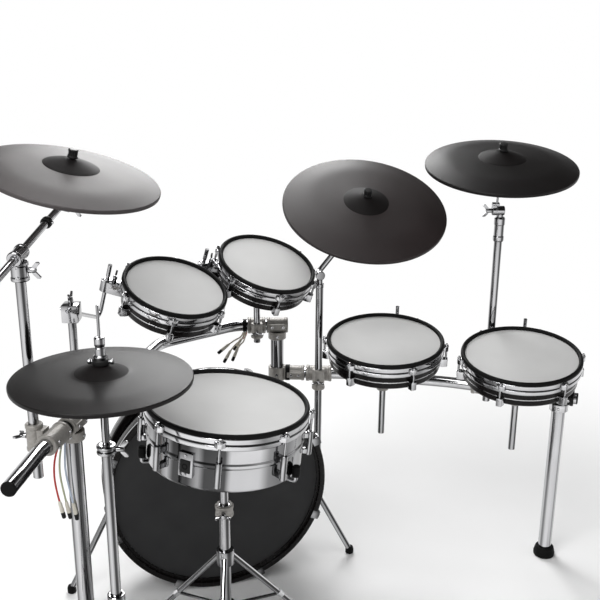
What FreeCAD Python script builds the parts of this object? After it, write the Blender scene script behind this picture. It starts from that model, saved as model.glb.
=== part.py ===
import FreeCAD, Part
import math
import os
import Sketcher
from FreeCAD import Placement, Rotation, Vector

# An electronic drum kit on a bent-pipe rack, in millimetres.
# X runs to the player's right, Y away from the player and Z up from the floor.

doc = FreeCAD.newDocument("drum_kit")
sheet = doc.addObject("Spreadsheet::Sheet", "Sizes")
nodes = []


class Size:
    """A length from the sheet: its number and the expression that gives it."""

    def __init__(self, text, number):
        self.text = text
        self.number = number

    def __float__(self):
        return float(self.number)

    def combine(self, other, sign, number):
        other_text = other.text if isinstance(other, Size) else repr(other)
        return Size("(%s %s %s)" % (self.text, sign, other_text), number)

    def __add__(self, other):
        return self.combine(other, "+", float(self) + float(other))

    def __sub__(self, other):
        return self.combine(other, "-", float(self) - float(other))

    def __mul__(self, other):
        return self.combine(other, "*", float(self) * float(other))

    def __truediv__(self, other):
        return self.combine(other, "/", float(self) / float(other))

    def __neg__(self):
        return Size("(0 - %s)" % self.text, -float(self))


row_count = 0


def size(alias, number):
    """Write one driving dimension into the sheet and return it."""
    global row_count
    row_count += 1
    sheet.set("A%d" % row_count, alias)
    sheet.set("B%d" % row_count, str(number))
    sheet.setAlias("B%d" % row_count, alias)
    return Size("Sizes." + alias, number)


zero = Size("0", 0.0)


# Kick sizes
kick_shell_radius = size("kick_shell_radius", 279)
kick_hoop_rise = size("kick_hoop_rise", 21)
kick_hoop_radius = kick_shell_radius + kick_hoop_rise
kick_depth = size("kick_depth", 110)
kick_hoop_width = size("kick_hoop_width", 40)
kick_hoop_wall = size("kick_hoop_wall", 14)
spur_radius = size("spur_radius", 8)

# Rack sizes: the upper pipe clears the kick, and the lower pipe is a step below it
pipe_radius = size("pipe_radius", 16)
pipe_wall = size("pipe_wall", 2.5)
upright_radius = size("upright_radius", 19)
upright_wall = size("upright_wall", 2.5)
seat_gap = size("seat_gap", 0.1)
run_gap = size("run_gap", 0.05)
rack_clearance = size("rack_clearance", 56)
pipe_step = size("pipe_step", 148)
upper_pipe_height = kick_hoop_radius * 2 + rack_clearance
lower_pipe_height = upper_pipe_height - pipe_step
foot_height = size("foot_height", 30)
foot_radius = size("foot_radius", 30)
tee_wall = size("tee_wall", 7)
tee_drop = size("tee_drop", 40)
crossing_reach = size("crossing_reach", 62)
clamp_wall = size("clamp_wall", 8)
clamp_length = size("clamp_length", 76)
tom_clamp_length = size("tom_clamp_length", 52)
clamp_height = size("clamp_height", 62)
tom_clamp_height = size("tom_clamp_height", 44)
clamp_offset = size("clamp_offset", 45)
cap_thickness = size("cap_thickness", 4)
wing_hub_radius = size("wing_hub_radius", 6)
wing_hub_length = size("wing_hub_length", 16)
wing_span = size("wing_span", 36)
wing_height = size("wing_height", 15)
wing_thickness = size("wing_thickness", 5)

# Stand and mount sizes
tom_post_radius = size("tom_post_radius", 9.5)
tom_post_wall = size("tom_post_wall", 2)
tom_rod_radius = size("tom_rod_radius", 5.25)
block_length = size("block_length", 42)
block_width = size("block_width", 38)
block_height = size("block_height", 42)
pole_radius = size("pole_radius", 11)
pole_wall = size("pole_wall", 2)
boom_radius = size("boom_radius", 8)
stem_radius = size("stem_radius", 3)
tilter_radius = size("tilter_radius", 13)
nut_radius = size("nut_radius", 12)
nut_height = size("nut_height", 20)

# Cymbal sizes
crash_radius = size("crash_radius", 203)
ride_radius = size("ride_radius", 229)
pad_thickness = size("pad_thickness", 7)
pad_edge = size("pad_edge", 9)
bow_rise = size("bow_rise", 24)
bell_radius = size("bell_radius", 63)
bell_rise = size("bell_rise", 17)
bell_top_radius = size("bell_top_radius", 14)
pad_hole_radius = size("pad_hole_radius", 5.5)
hihat_radius = size("hihat_radius", 180)
hihat_gap = size("hihat_gap", 22)
hihat_lower_radius = size("hihat_lower_radius", 95)
hihat_lower_thickness = size("hihat_lower_thickness", 14)
hihat_lift = size("hihat_lift", 172)
hihat_height = upper_pipe_height + hihat_lift

# Drum sizes
tom_shell_radius = size("tom_shell_radius", 127)
floor_shell_radius = size("floor_shell_radius", 152)
snare_shell_radius = size("snare_shell_radius", 178)
tom_depth = size("tom_depth", 66)
snare_depth = size("snare_depth", 130)
shell_wall = size("shell_wall", 5)
head_thickness = size("head_thickness", 1.2)
rim_overlap = size("rim_overlap", 3.5)
flesh_width = size("flesh_width", 4)
flesh_height = size("flesh_height", 10)
hoop_wall = size("hoop_wall", 4.5)
rim_rise = size("rim_rise", 9)
hoop_drop = size("hoop_drop", 28)
groove_height = size("groove_height", 4)
groove_depth = size("groove_depth", 2)
lug_width = size("lug_width", 22)
lug_depth = size("lug_depth", 20)
lug_height = size("lug_height", 23)
tension_rod_radius = size("tension_rod_radius", 3)
ear_reach = size("ear_reach", 11)
ear_width = size("ear_width", 15)
ear_height = size("ear_height", 15)
bracket_width = size("bracket_width", 30)
bracket_height = size("bracket_height", 32)
bracket_reach = size("bracket_reach", 34)
sensor_plate_radius = size("sensor_plate_radius", 40)
sensor_cone_radius = size("sensor_cone_radius", 14)


def vec(point):
    return Vector(*[float(value) for value in point])


def turned(direction, spin=0.0):
    """The rotation that carries Z onto a direction, after a spin about Z."""
    return Rotation(Vector(0, 0, 1), vec(direction)).multiply(Rotation(Vector(0, 0, 1), spin))


def put(piece, point, rotation=None):
    piece.Placement = Placement(vec(point), rotation or Rotation())
    return piece


def moved(piece, point, rotation=None):
    """Carry a piece from its place in a local frame into the kit."""
    piece.Placement = Placement(vec(point), rotation or Rotation()).multiply(piece.Placement)
    return piece


def keep(piece, label):
    """Make a piece one of the kit's nodes."""
    piece.Label = label
    nodes.append(piece)
    return piece


def group(label, pieces):
    """Several separate solids that share one node."""
    compound = doc.addObject("Part::Compound", label)
    compound.Links = pieces
    return keep(compound, label)


def new_body(name):
    return doc.addObject("PartDesign::Body", name)


def origin_feature(body, role):
    for feature in body.Origin.OriginFeatures:
        if feature.Role == role:
            return feature


def sketch_on(body, role, name, lift=zero):
    sketch = body.newObject("Sketcher::SketchObject", name)
    sketch.AttachmentSupport = [(origin_feature(body, role), "")]
    sketch.MapMode = "FlatFace"
    sketch.AttachmentOffset = Placement(Vector(0, 0, float(lift)), Rotation())
    sketch.setExpression(".AttachmentOffset.Base.z", lift.text)
    return sketch


def bind(sketch, kind, *spec):
    """Add a dimension to a sketch, tied to the sheet."""
    value = spec[-1]
    index = sketch.addConstraint(Sketcher.Constraint(kind, *spec[:-1], float(value)))
    sketch.setExpression("Constraints[%d]" % index, value.text)


def draw_outline(sketch, corners):
    """A closed outline of lines through the corners."""
    points = [vec((x, y, 0)) for x, y in corners]
    count = len(points)
    for i, start in enumerate(points):
        sketch.addGeometry(Part.LineSegment(start, points[(i + 1) % count]), False)
    for i, (x, y) in enumerate(corners):
        sketch.addConstraint(Sketcher.Constraint("Coincident", (i - 1) % count, 2, i, 1))
        bind(sketch, "DistanceX", -1, 1, i, 1, x)
        bind(sketch, "DistanceY", -1, 1, i, 1, y)


def draw_circle(sketch, x, y, radius):
    index = sketch.addGeometry(Part.Circle(vec((x, y, 0)), Vector(0, 0, 1), float(radius)), False)
    bind(sketch, "DistanceX", -1, 1, index, 3, x)
    bind(sketch, "DistanceY", -1, 1, index, 3, y)
    bind(sketch, "Radius", index, radius)


def revolve(body, corners):
    """A solid of revolution about the body's Z axis."""
    sketch = sketch_on(body, "XZ_Plane", body.Name + "_profile")
    draw_outline(sketch, corners)
    feature = body.newObject("PartDesign::Revolution", body.Name + "_turned")
    feature.Profile = sketch
    feature.ReferenceAxis = (sketch, ["V_Axis"])
    feature.Angle = 360
    return feature


def revolved(name, corners):
    body = new_body(name)
    revolve(body, corners)
    return body


def extrude(body, draw, length, lift=zero, role="XY_Plane", down=False):
    """A pad whose sketch is drawn by the function draw."""
    sketch = sketch_on(body, role, body.Name + "_outline", lift)
    draw(sketch)
    feature = body.newObject("PartDesign::Pad", body.Name + "_pad")
    feature.Profile = sketch
    feature.setExpression("Length", length.text)
    feature.Reversed = down
    return feature


def ring_of(body, features, count):
    """Repeat features evenly about the body's Z axis."""
    pattern = body.newObject("PartDesign::PolarPattern", body.Name + "_ring")
    pattern.Originals = features
    pattern.Axis = (origin_feature(body, "Z_Axis"), [""])
    pattern.Angle = 360
    pattern.Occurrences = count
    body.Tip = pattern
    return pattern


def tube(name, radius, wall, length):
    """A straight round tube, standing on the XY plane."""
    body = new_body(name)

    def draw(sketch):
        draw_circle(sketch, zero, zero, radius)
        draw_circle(sketch, zero, zero, radius - wall)

    extrude(body, draw, length)
    return body


def rod(name, radius, length):
    """A straight solid rod, standing on the XY plane."""
    body = new_body(name)
    extrude(body, lambda sketch: draw_circle(sketch, zero, zero, radius), length)
    return body


def block(name, length, width, height):
    """A block centred on the origin."""
    box = doc.addObject("Part::Box", name)
    box.setExpression("Length", length.text)
    box.setExpression("Width", width.text)
    box.setExpression("Height", height.text)
    box.Placement = Placement(vec((-length / 2, -width / 2, -height / 2)), Rotation())
    return box


def cylinder(name, radius, length, start=zero, direction=(0, 0, 1)):
    """A plain cylinder that starts at a distance along a direction through the origin."""
    piece = doc.addObject("Part::Cylinder", name)
    piece.setExpression("Radius", radius.text)
    piece.setExpression("Height", length.text)
    along = vec(direction).normalize()
    piece.Placement = Placement(along * float(start), Rotation(Vector(0, 0, 1), along))
    return piece


def bar(name, radius, start, end):
    """A straight round bar between two points."""
    piece = doc.addObject("Part::Cylinder", name)
    line = vec(end) - vec(start)
    piece.setExpression("Radius", radius.text)
    piece.Height = line.Length
    piece.Placement = Placement(vec(start), turned(line))
    return piece


def fused(name, pieces):
    piece = doc.addObject("Part::MultiFuse", name)
    piece.Shapes = pieces
    return piece


def cut(name, base, tools):
    tool = tools[0] if len(tools) == 1 else fused(name + "_tools", tools)
    piece = doc.addObject("Part::Cut", name)
    piece.Base = base
    piece.Tool = tool
    return piece


def bent_path(points, radius):
    """Straight runs joined by tangent arcs of one radius, or each as large as its runs allow."""
    points = [vec(point) for point in points]
    edges = []
    radii = []
    start = points[0]
    for i in range(1, len(points) - 1):
        back = (points[i - 1] - points[i])
        ahead = (points[i + 1] - points[i])
        turn = math.pi - back.getAngle(ahead)
        reach = 0.45 * min(back.Length, ahead.Length)
        bend = reach / math.tan(turn / 2)
        if radius is not None:
            bend = float(radius)
            reach = bend * math.tan(turn / 2)
        radii.append(bend)
        back.normalize()
        ahead.normalize()
        arc_start = points[i] + back * reach
        arc_end = points[i] + ahead * reach
        towards = (back + ahead).normalize()
        middle = points[i] + towards * (bend / math.cos(turn / 2) - bend)
        edges.append(Part.LineSegment(start, arc_start).toShape())
        edges.append(Part.Arc(arc_start, middle, arc_end).toShape())
        start = arc_end
    edges.append(Part.LineSegment(start, points[-1]).toShape())
    return Part.Wire(edges), radii


def swept(path, radius):
    edge = path.Edges[0]
    start = edge.valueAt(edge.FirstParameter)
    along = edge.tangentAt(edge.FirstParameter)
    section = Part.Wire([Part.makeCircle(float(radius), start, along)])
    return path.makePipeShell([section], True, False)


def bent_tube(name, points, bend, radius, wall=None):
    """A bent round tube, or a bent solid rod where it has no wall."""
    path, radii = bent_path(points, bend)
    shape = swept(path, radius)
    if wall is not None:
        shape = shape.cut(swept(path, radius - wall))
    piece = doc.addObject("Part::Feature", name)
    piece.Shape = shape
    return piece


def wing_bolt(name):
    """A wing bolt whose hub stands on the XY plane."""
    body = new_body(name)
    extrude(body, lambda sketch: draw_circle(sketch, zero, zero, wing_hub_radius), wing_hub_length)
    half_span = wing_span / 2
    half_thickness = wing_thickness / 2
    corners = [(-half_span, -half_thickness), (half_span, -half_thickness),
               (half_span, half_thickness), (-half_span, half_thickness)]
    extrude(body, lambda sketch: draw_outline(sketch, corners), wing_height,
            wing_hub_length - wing_height / 3)
    return body


def spot(name, x, y, height=None):
    """A place in the kit: its two or three coordinates in the sheet."""
    place = [size(name + "_x", x), size(name + "_y", y)]
    if height is not None:
        place.append(height)
    return place


# Rack: pipe routes in plan, from the left wing to the centre and from the centre to the right
wing_end = spot("wing_end", -582, -540)
wing_bend = spot("wing_bend", -567, -385)
left_bend = spot("left_bend", -416, 292)
far_bend = spot("far_bend", -220, 448)
centre_upright = spot("centre_upright", -97, 457)
centre_bend = spot("centre_bend", 130, 446)
right_bend = spot("right_bend", 400, 388)
right_upright = spot("right_upright", 700, 285)
left_bend_radius = size("left_bend_radius", 105)
right_bend_radius = size("right_bend_radius", 500)
pipe_overrun = size("pipe_overrun", 26)
upright_clear = size("upright_clear", 3)


def along(start, end, share_y=None, share_x=None):
    """The point of a straight run at one given coordinate, and the run's heading."""
    a, b = vec((*start[:2], 0)), vec((*end[:2], 0))
    share = (share_y - a.y) / (b.y - a.y) if share_y is not None else (share_x - a.x) / (b.x - a.x)
    return a + (b - a) * share, (b - a).normalize()


def heading_rotation(heading):
    return Rotation(Vector(0, 0, 1), math.degrees(math.atan2(heading.y, heading.x)))


def at_height(point, height):
    return Vector(point.x, point.y, float(height))


def upper(place):
    return (place[0], place[1], upper_pipe_height)


def lower(place):
    return (place[0], place[1], lower_pipe_height)


pipe_start = vec(upper(centre_upright))
far_heading = (pipe_start - vec(upper(far_bend))).normalize()
upper_end = pipe_start + far_heading * float(pipe_overrun)
right_heading = (vec(lower(centre_bend)) - vec(lower(centre_upright))).normalize()
last_heading = (vec(lower(right_upright)) - vec(lower(right_bend))).normalize()
lower_start = vec(lower(centre_upright)) + right_heading * float(upright_radius + upright_clear)
lower_end = vec(lower(right_upright)) + last_heading * float(pipe_overrun + upright_radius)

wing_path = bent_tube("wing_run", [upper(wing_end), upper(wing_bend), upper(left_bend), upper(far_bend),
                                   upper_end],
                      left_bend_radius, pipe_radius, pipe_wall)
keep(wing_path, "rack_left_pipe")
right_path = bent_tube("right_run", [lower_start, lower(centre_bend), lower(right_bend), lower_end],
                       right_bend_radius, pipe_radius, pipe_wall)
keep(right_path, "rack_right_pipe")

left_upright_y = size("left_upright_y", -235)
left_tee_spot, left_heading = along(wing_bend, left_bend, share_y=float(left_upright_y))
upright_tops = [
    ("left", left_tee_spot, upper_pipe_height),
    ("centre", vec((*centre_upright, 0)), upper_pipe_height),
    ("right", vec((*right_upright, 0)), lower_pipe_height),
]
uprights = []
feet = []
for side, point, height in upright_tops:
    length = height - pipe_radius - upright_clear - foot_height
    post = tube(side + "_upright", upright_radius, upright_wall, length)
    uprights.append(put(post, at_height(point, foot_height)))
    inner = upright_radius - upright_wall - seat_gap
    foot = revolved(side + "_foot", [
        (zero, zero), (foot_radius, zero), (foot_radius, foot_height / 2),
        (upright_radius + tee_wall, foot_height), (inner, foot_height), (inner, foot_height * 2),
        (zero, foot_height * 2)])
    feet.append(put(foot, at_height(point, zero)))
group("rack_uprights", uprights)


def pipe_cap(name, point, heading):
    """A rubber plug in a pipe's open end."""
    inner = pipe_radius - pipe_wall - seat_gap
    plug = revolved(name, [
        (zero, -(cap_thickness * 4)), (inner, -(cap_thickness * 4)), (inner, zero),
        (pipe_radius, zero), (pipe_radius, cap_thickness), (zero, cap_thickness)])
    return put(plug, point, turned(heading))


wing_heading = (vec(upper(wing_end)) - vec(upper(wing_bend))).normalize()
caps = [
    pipe_cap("wing_cap", vec(upper(wing_end)), wing_heading),
    pipe_cap("upper_cap", upper_end, far_heading),
    pipe_cap("lower_cap", lower_end, last_heading),
]
group("rack_feet_and_caps", feet + caps)


def tee(name, length):
    """A cast tee: a sleeve for the pipe along X and a socket for the upright below it."""
    sleeve = cylinder(name + "_sleeve", pipe_radius + tee_wall, length, -(length / 2), (1, 0, 0))
    socket = cylinder(name + "_socket", upright_radius + tee_wall, tee_drop, zero, (0, 0, -1))
    solid = fused(name + "_solid", [sleeve, socket])
    pipe_bore = cylinder(name + "_pipe_bore", pipe_radius + seat_gap, length * 2, -length, (1, 0, 0))
    bore_start = pipe_radius + upright_clear / 2
    post_bore = cylinder(name + "_post_bore", upright_radius + seat_gap, tee_drop, bore_start, (0, 0, -1))
    return cut(name, solid, [pipe_bore, post_bore])


def crossing(name):
    """The lower centre casting: a sleeve on the upright and a socket for the right pipe along X."""
    half_height = tee_drop / 2
    sleeve = cylinder(name + "_sleeve", upright_radius + tee_wall, tee_drop, -half_height)
    socket = cylinder(name + "_socket", pipe_radius + tee_wall, crossing_reach + upright_radius, zero, (1, 0, 0))
    solid = fused(name + "_solid", [sleeve, socket])
    post_bore = cylinder(name + "_post_bore", upright_radius + seat_gap, tee_drop * 2, -tee_drop)
    pipe_bore = cylinder(name + "_pipe_bore", pipe_radius + seat_gap, crossing_reach * 2, zero, (1, 0, 0))
    return cut(name, solid, [post_bore, pipe_bore])


def pipe_clamp(name, length, post_radius, side, height):
    """A cast clamp: a sleeve on the pipe along X and a sleeve for a post beside it, at +Y or -Y."""
    sleeve = cylinder(name + "_sleeve", pipe_radius + clamp_wall, length, -(length / 2), (1, 0, 0))
    reach = clamp_offset * side
    holder = cylinder(name + "_holder", post_radius + clamp_wall, height)
    holder.Placement = Placement(vec((0, reach, -(height / 2))), Rotation())
    bridge = block(name + "_bridge", post_radius * 2 + clamp_wall, clamp_offset, height * 0.7)
    bridge.Placement.Base.y += float(reach) / 2
    solid = fused(name + "_solid", [sleeve, holder, bridge])
    pipe_bore = cylinder(name + "_pipe_bore", pipe_radius + seat_gap, length * 2, -length, (1, 0, 0))
    post_bore = cylinder(name + "_post_bore", post_radius + run_gap, height * 2)
    post_bore.Placement = Placement(vec((0, reach, -height)), Rotation())
    return cut(name, solid, [pipe_bore, post_bore])


castings = [
    put(tee("left_tee", clamp_height), at_height(left_tee_spot, upper_pipe_height),
        heading_rotation(left_heading)),
    put(tee("centre_tee", clamp_height), pipe_start, heading_rotation(far_heading)),
    put(crossing("centre_crossing"), vec(lower(centre_upright)), heading_rotation(right_heading)),
    put(tee("right_tee", clamp_length), vec(lower(right_upright)), heading_rotation(last_heading)),
]
wing_bolts = []


def clamp_on(name, run, height, post_radius, side, length, share_y=None, share_x=None):
    """Clamp a post to a pipe run and return the post's place in plan."""
    cast_height = tom_clamp_height if post_radius is tom_post_radius else clamp_height
    point, heading = along(*run, share_y=share_y, share_x=share_x)
    left = Vector(-heading.y, heading.x, 0) * side
    castings.append(put(pipe_clamp(name, length, post_radius, side, cast_height), at_height(point, height),
                        heading_rotation(heading)))
    bolt_start = point + left * float(clamp_offset + post_radius + clamp_wall)
    wing_bolts.append(put(wing_bolt(name + "_bolt"), at_height(bolt_start, height), turned(left)))
    return point + left * float(clamp_offset)


left_run = (wing_bend, left_bend)
far_run = (far_bend, centre_upright)
first_run = (centre_upright, centre_bend)
middle_run = (centre_bend, right_bend)
last_run = (right_bend, right_upright)
crash_clamp_y = size("crash_clamp_y", -318)
high_clamp_y = size("high_clamp_y", -115)
mid_clamp_x = size("mid_clamp_x", -157)
ride_clamp_x = size("ride_clamp_x", 27)
low_clamp_x = size("low_clamp_x", 221)
floor_clamp_x = size("floor_clamp_x", 590)
right_clamp_x = size("right_clamp_x", 503)

left_pole_spot = clamp_on("left_crash_clamp", left_run, upper_pipe_height, pole_radius, 1, clamp_length,
                          share_y=float(crash_clamp_y))
high_post_spot = clamp_on("high_tom_clamp", left_run, upper_pipe_height, tom_post_radius, 1, tom_clamp_length,
                          share_y=float(high_clamp_y))
mid_post_spot = clamp_on("mid_tom_clamp", far_run, upper_pipe_height, tom_post_radius, -1, tom_clamp_length,
                         share_x=float(mid_clamp_x))
ride_pole_spot = clamp_on("ride_clamp", first_run, lower_pipe_height, pole_radius, -1, clamp_length,
                          share_x=float(ride_clamp_x))
low_post_spot = clamp_on("low_tom_clamp", middle_run, lower_pipe_height, tom_post_radius, -1,
                         tom_clamp_length,
                         share_x=float(low_clamp_x))
floor_post_spot = clamp_on("floor_tom_clamp", last_run, lower_pipe_height, tom_post_radius, -1,
                           tom_clamp_length,
                           share_x=float(floor_clamp_x))
right_pole_spot = clamp_on("right_crash_clamp", last_run, lower_pipe_height, pole_radius, 1, clamp_length,
                           share_x=float(right_clamp_x))
group("rack_clamps", castings)
group("rack_wing_bolts", wing_bolts)

# Drums: each is drawn about its own axis, with the middle of its head at the origin
head_gap = size("head_gap", 0.3)
plate_thickness = size("plate_thickness", 4)
groove_drop = size("groove_drop", 13)
ear_drop = size("ear_drop", 4)
screw_head_radius = size("screw_head_radius", 5)
screw_head_height = size("screw_head_height", 7)
lug_lift = size("lug_lift", 1)
hole_gap = size("hole_gap", 0.3)
bracket_end = size("bracket_end", 15)
bracket_drop = size("bracket_drop", 30)
bolt_setback = size("bolt_setback", 18)


def rectangle(left, right, half_width):
    return [(left, -half_width), (right, -half_width), (right, half_width), (left, half_width)]


def hoop_radius(shell_radius):
    return shell_radius + flesh_width + head_gap + hoop_wall


def drum_shell(name, radius, depth):
    top = -(head_thickness + head_gap)
    floor = plate_thickness - depth
    return revolved(name, [
        (zero, -depth), (radius, -depth), (radius, top), (radius - shell_wall, top),
        (radius - shell_wall, floor), (zero, floor)])


def drum_head(name, radius):
    flesh = radius + flesh_width
    return revolved(name, [
        (zero, zero), (flesh, zero), (flesh, -flesh_height), (radius + head_gap, -flesh_height),
        (radius + head_gap, -head_thickness), (zero, -head_thickness)])


def drum_hoop(name, radius, count):
    inner = radius + flesh_width + head_gap
    outer = hoop_radius(radius)
    groove_end = groove_drop + groove_height
    body = new_body(name)
    revolve(body, [
        (radius - rim_overlap, head_gap), (radius - rim_overlap, rim_rise), (outer, rim_rise),
        (outer, -groove_drop), (outer - groove_depth, -groove_drop), (outer - groove_depth, -groove_end),
        (outer, -groove_end), (outer, -hoop_drop), (inner, -hoop_drop), (inner, head_gap)])

    def draw_ear(sketch):
        draw_outline(sketch, rectangle(outer - hoop_wall * 0.7, outer + ear_reach, ear_width / 2))
        draw_circle(sketch, outer + ear_reach / 2, zero, tension_rod_radius + hole_gap)

    ear = extrude(body, draw_ear, ear_height, -ear_drop, down=True)
    ring_of(body, [ear], count)
    return body


def tension_rods(name, radius, lug_top, count):
    middle = hoop_radius(radius) + ear_reach / 2
    body = new_body(name)
    shank = extrude(body, lambda sketch: draw_circle(sketch, middle, zero, tension_rod_radius),
                    -ear_drop - lug_top, lug_top)
    screw = extrude(body, lambda sketch: draw_circle(sketch, middle, zero, screw_head_radius),
                    screw_head_height, -ear_drop)
    ring_of(body, [shank, screw], count)
    return body


def lug_ring(name, radius, depth, height, count):
    body = new_body(name)
    inner = radius + seat_gap
    lug = extrude(body, lambda sketch: draw_outline(sketch, rectangle(inner, inner + lug_depth,
                                                                      lug_width / 2)),
                  height, lug_lift - depth)
    ring_of(body, [lug], count)
    return body


def sensor(name, depth, plate_top):
    """A trigger plate on the drum's floor with a foam cone that reaches up to the head."""
    floor = plate_thickness - depth
    tip = -(head_thickness + head_gap)
    return revolved(name, [
        (zero, floor), (sensor_plate_radius, floor), (sensor_plate_radius, floor + plate_top),
        (sensor_cone_radius, floor + plate_top * 2), (sensor_cone_radius * 0.6, tip), (zero, tip)])


def rod_bracket(name, radius):
    """The clamp on a tom's shell that the bent rod passes through."""
    hole = hoop_radius(radius) + bracket_reach
    body = new_body(name)

    def draw(sketch):
        draw_outline(sketch, rectangle(radius + seat_gap, hole + bracket_end, bracket_width / 2))
        draw_circle(sketch, hole, zero, tom_rod_radius + run_gap)

    extrude(body, draw, bracket_height, -bracket_drop, down=True)
    return body


def drum(prefix, radius, depth, lug_height_here, count, centre, normal, first_lug):
    """Hoop, head, sensor and the shell's pieces of one drum."""
    rotation = turned(normal)
    lugs_rotation = turned(normal, first_lug)
    lug_top = lug_lift - depth + lug_height_here
    shell = put(drum_shell(prefix + "_bowl", radius, depth), centre, rotation)
    lugs = put(lug_ring(prefix + "_lugs", radius, depth, lug_height_here, count), centre, lugs_rotation)
    hoop = put(drum_hoop(prefix + "_band", radius, count), centre, lugs_rotation)
    rods = put(tension_rods(prefix + "_rods", radius, lug_top, count), centre, lugs_rotation)
    head = put(drum_head(prefix + "_skin", radius), centre, rotation)
    trigger = put(sensor(prefix + "_trigger", depth, plate_thickness), centre, rotation)
    group(prefix + "_hoop", [hoop, rods])
    keep(head, prefix + "_head")
    keep(trigger, prefix + "_sensor")
    return [shell, lugs]


# Hanging toms: a post in a pipe clamp, a bent rod in the post's block, and the drum on the rod
rod_leg = size("rod_leg", 112)
rod_leg_long = size("rod_leg_long", 150)
rod_top = size("rod_top", 14)
rod_bend = size("rod_bend", 16)
rod_overrun = size("rod_overrun", 14)
post_below = size("post_below", 36)
post_below_long = size("post_below_long", 160)
post_gap = size("post_gap", 3)


def tom(prefix, radius, centre, normal, first_lug, bracket_angle, post_spot, pipe_height, block_z, leg, below,
        bolt_side):
    pieces = drum(prefix, radius, tom_depth, lug_height, 6, centre, normal, first_lug)
    rotation = turned(normal)
    bracket_rotation = turned(normal, bracket_angle)
    bracket = put(rod_bracket(prefix + "_bracket", radius), centre, bracket_rotation)
    hole = hoop_radius(radius) + bracket_reach
    bolt_place = vec(centre) + bracket_rotation.multVec(vec((hole - bolt_setback, 0, -bracket_drop)))
    bolt = put(wing_bolt(prefix + "_bracket_bolt"), bolt_place, turned(normal, bracket_angle + 90))
    group(prefix + "_shell", pieces + [bracket, bolt])

    axis = vec(normal).normalize()
    hole_point = vec(centre) + bracket_rotation.multVec(vec((hole, 0, 0)))
    corner = hole_point - axis * float(leg)
    knuckle = at_height(post_spot, block_z)
    rod_line = (knuckle - corner).normalize()
    arm = bent_tube(prefix + "_rod", [hole_point + axis * float(rod_top), corner,
                                      knuckle + rod_line * float(block_length / 2 + rod_overrun)],
                    rod_bend, tom_rod_radius)
    keep(arm, prefix + "_arm")

    yaw = Rotation(Vector(0, 0, 1), math.degrees(math.atan2(rod_line.y, rod_line.x)))
    local_line = yaw.inverted().multVec(rod_line)
    body = block(prefix + "_block_solid", block_length, block_width, block_height)
    rod_bore = cylinder(prefix + "_rod_bore", tom_rod_radius + run_gap, block_length * 4, -(block_length * 2),
                        local_line)
    post_start = tom_rod_radius + post_gap
    post_bore = cylinder(prefix + "_post_bore", tom_post_radius + seat_gap, block_height * 2, post_start,
                         (0, 0, -1))
    clamp_block = put(cut(prefix + "_block", body, [rod_bore, post_bore]), knuckle, yaw)
    bolt_line = yaw.multVec(Vector(*bolt_side))
    bolt_reach = float(block_height if bolt_side[2] else block_width) / 2
    block_bolt = put(wing_bolt(prefix + "_block_bolt"), knuckle + bolt_line * bolt_reach, turned(bolt_line))
    post_end = pipe_height - below
    post = tube(prefix + "_tube", tom_post_radius, tom_post_wall, block_z - post_start - post_gap - post_end)
    put(post, at_height(post_spot, post_end))
    group(prefix + "_post", [post, clamp_block, block_bolt])
    print("%s axis %s hole %s rod %s knuckle %s" % (prefix, axis, hole_point, rod_line, knuckle))


high_tom_spot = spot("high_tom", -347, 142, upper_pipe_height + size("high_tom_lift", 204))
mid_tom_spot = spot("mid_tom", -121, 333, upper_pipe_height + size("mid_tom_lift", 216))
low_tom_spot = spot("low_tom", 203, 269, lower_pipe_height + size("low_tom_lift", 168))
floor_tom_spot = spot("floor_tom", 565, 218, lower_pipe_height + size("floor_tom_lift", 145))
snare_spot = spot("snare", -192, -192, upper_pipe_height + size("snare_lift", 31))
high_block_height = high_tom_spot[2] + size("high_block_lift", 11)
mid_block_height = mid_tom_spot[2] - size("mid_block_drop", 102)
low_block_height = low_tom_spot[2] - size("low_block_drop", 91)
floor_block_height = floor_tom_spot[2] - size("floor_block_drop", 97)
high_tom_normal = (0.275, -0.244, 0.930)
mid_tom_normal = (0.277, -0.283, 0.918)
low_tom_normal = (-0.006, -0.138, 0.990)
floor_tom_normal = (-0.029, -0.154, 0.988)
snare_normal = (0.082, -0.005, 0.997)

tom("high_tom", tom_shell_radius, high_tom_spot, high_tom_normal, -82, 180, high_post_spot, upper_pipe_height,
    high_block_height, rod_leg_long, post_below, (0, 0, 1))
tom("mid_tom", tom_shell_radius, mid_tom_spot, mid_tom_normal, -69, 190, mid_post_spot, upper_pipe_height,
    mid_block_height, rod_leg, post_below, (0, -1, 0))
tom("low_tom", floor_shell_radius, low_tom_spot, low_tom_normal, -8, 75, low_post_spot, lower_pipe_height,
    low_block_height, rod_leg, post_below_long, (0, 1, 0))
tom("floor_tom", floor_shell_radius, floor_tom_spot, floor_tom_normal, 0, 75, floor_post_spot,
    lower_pipe_height,
    floor_block_height, rod_leg, post_below_long, (0, 1, 0))

# Cymbal pads and the stands that carry them
bow_share = 0.6
bow_sink = 0.42
dish_drop = size("dish_drop", 2)
bell_shoulder_radius = size("bell_shoulder_radius", 36)
bell_shoulder_rise = size("bell_shoulder_rise", 10)
seat_radius = size("seat_radius", 8)
rock_gap = size("rock_gap", 0.9)
seat_height = size("seat_height", 9)
nut_gap = size("nut_gap", 2)
neck_width = size("neck_width", 14)
neck_height = size("neck_height", 8)
neck_gap = size("neck_gap", 1.5)
face_gap = size("face_gap", 0.15)
left_stem = size("left_stem", 88)
ride_stem = size("ride_stem", 66)
right_stem = size("right_stem", 146)
boom_clamp_height = upper_pipe_height + size("boom_clamp_lift", 369)
boom_clamp_length = size("boom_clamp_length", 46)
boom_over = size("boom_over", 30)
pole_room = size("pole_room", 2)
boom_tail = size("boom_tail", 150)
left_pole_top = boom_clamp_height + size("left_pole_rise", 15)
left_pole_bottom = upper_pipe_height - size("left_pole_drop", 96)
ride_pole_top = lower_pipe_height + size("ride_pole_rise", 314)
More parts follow.
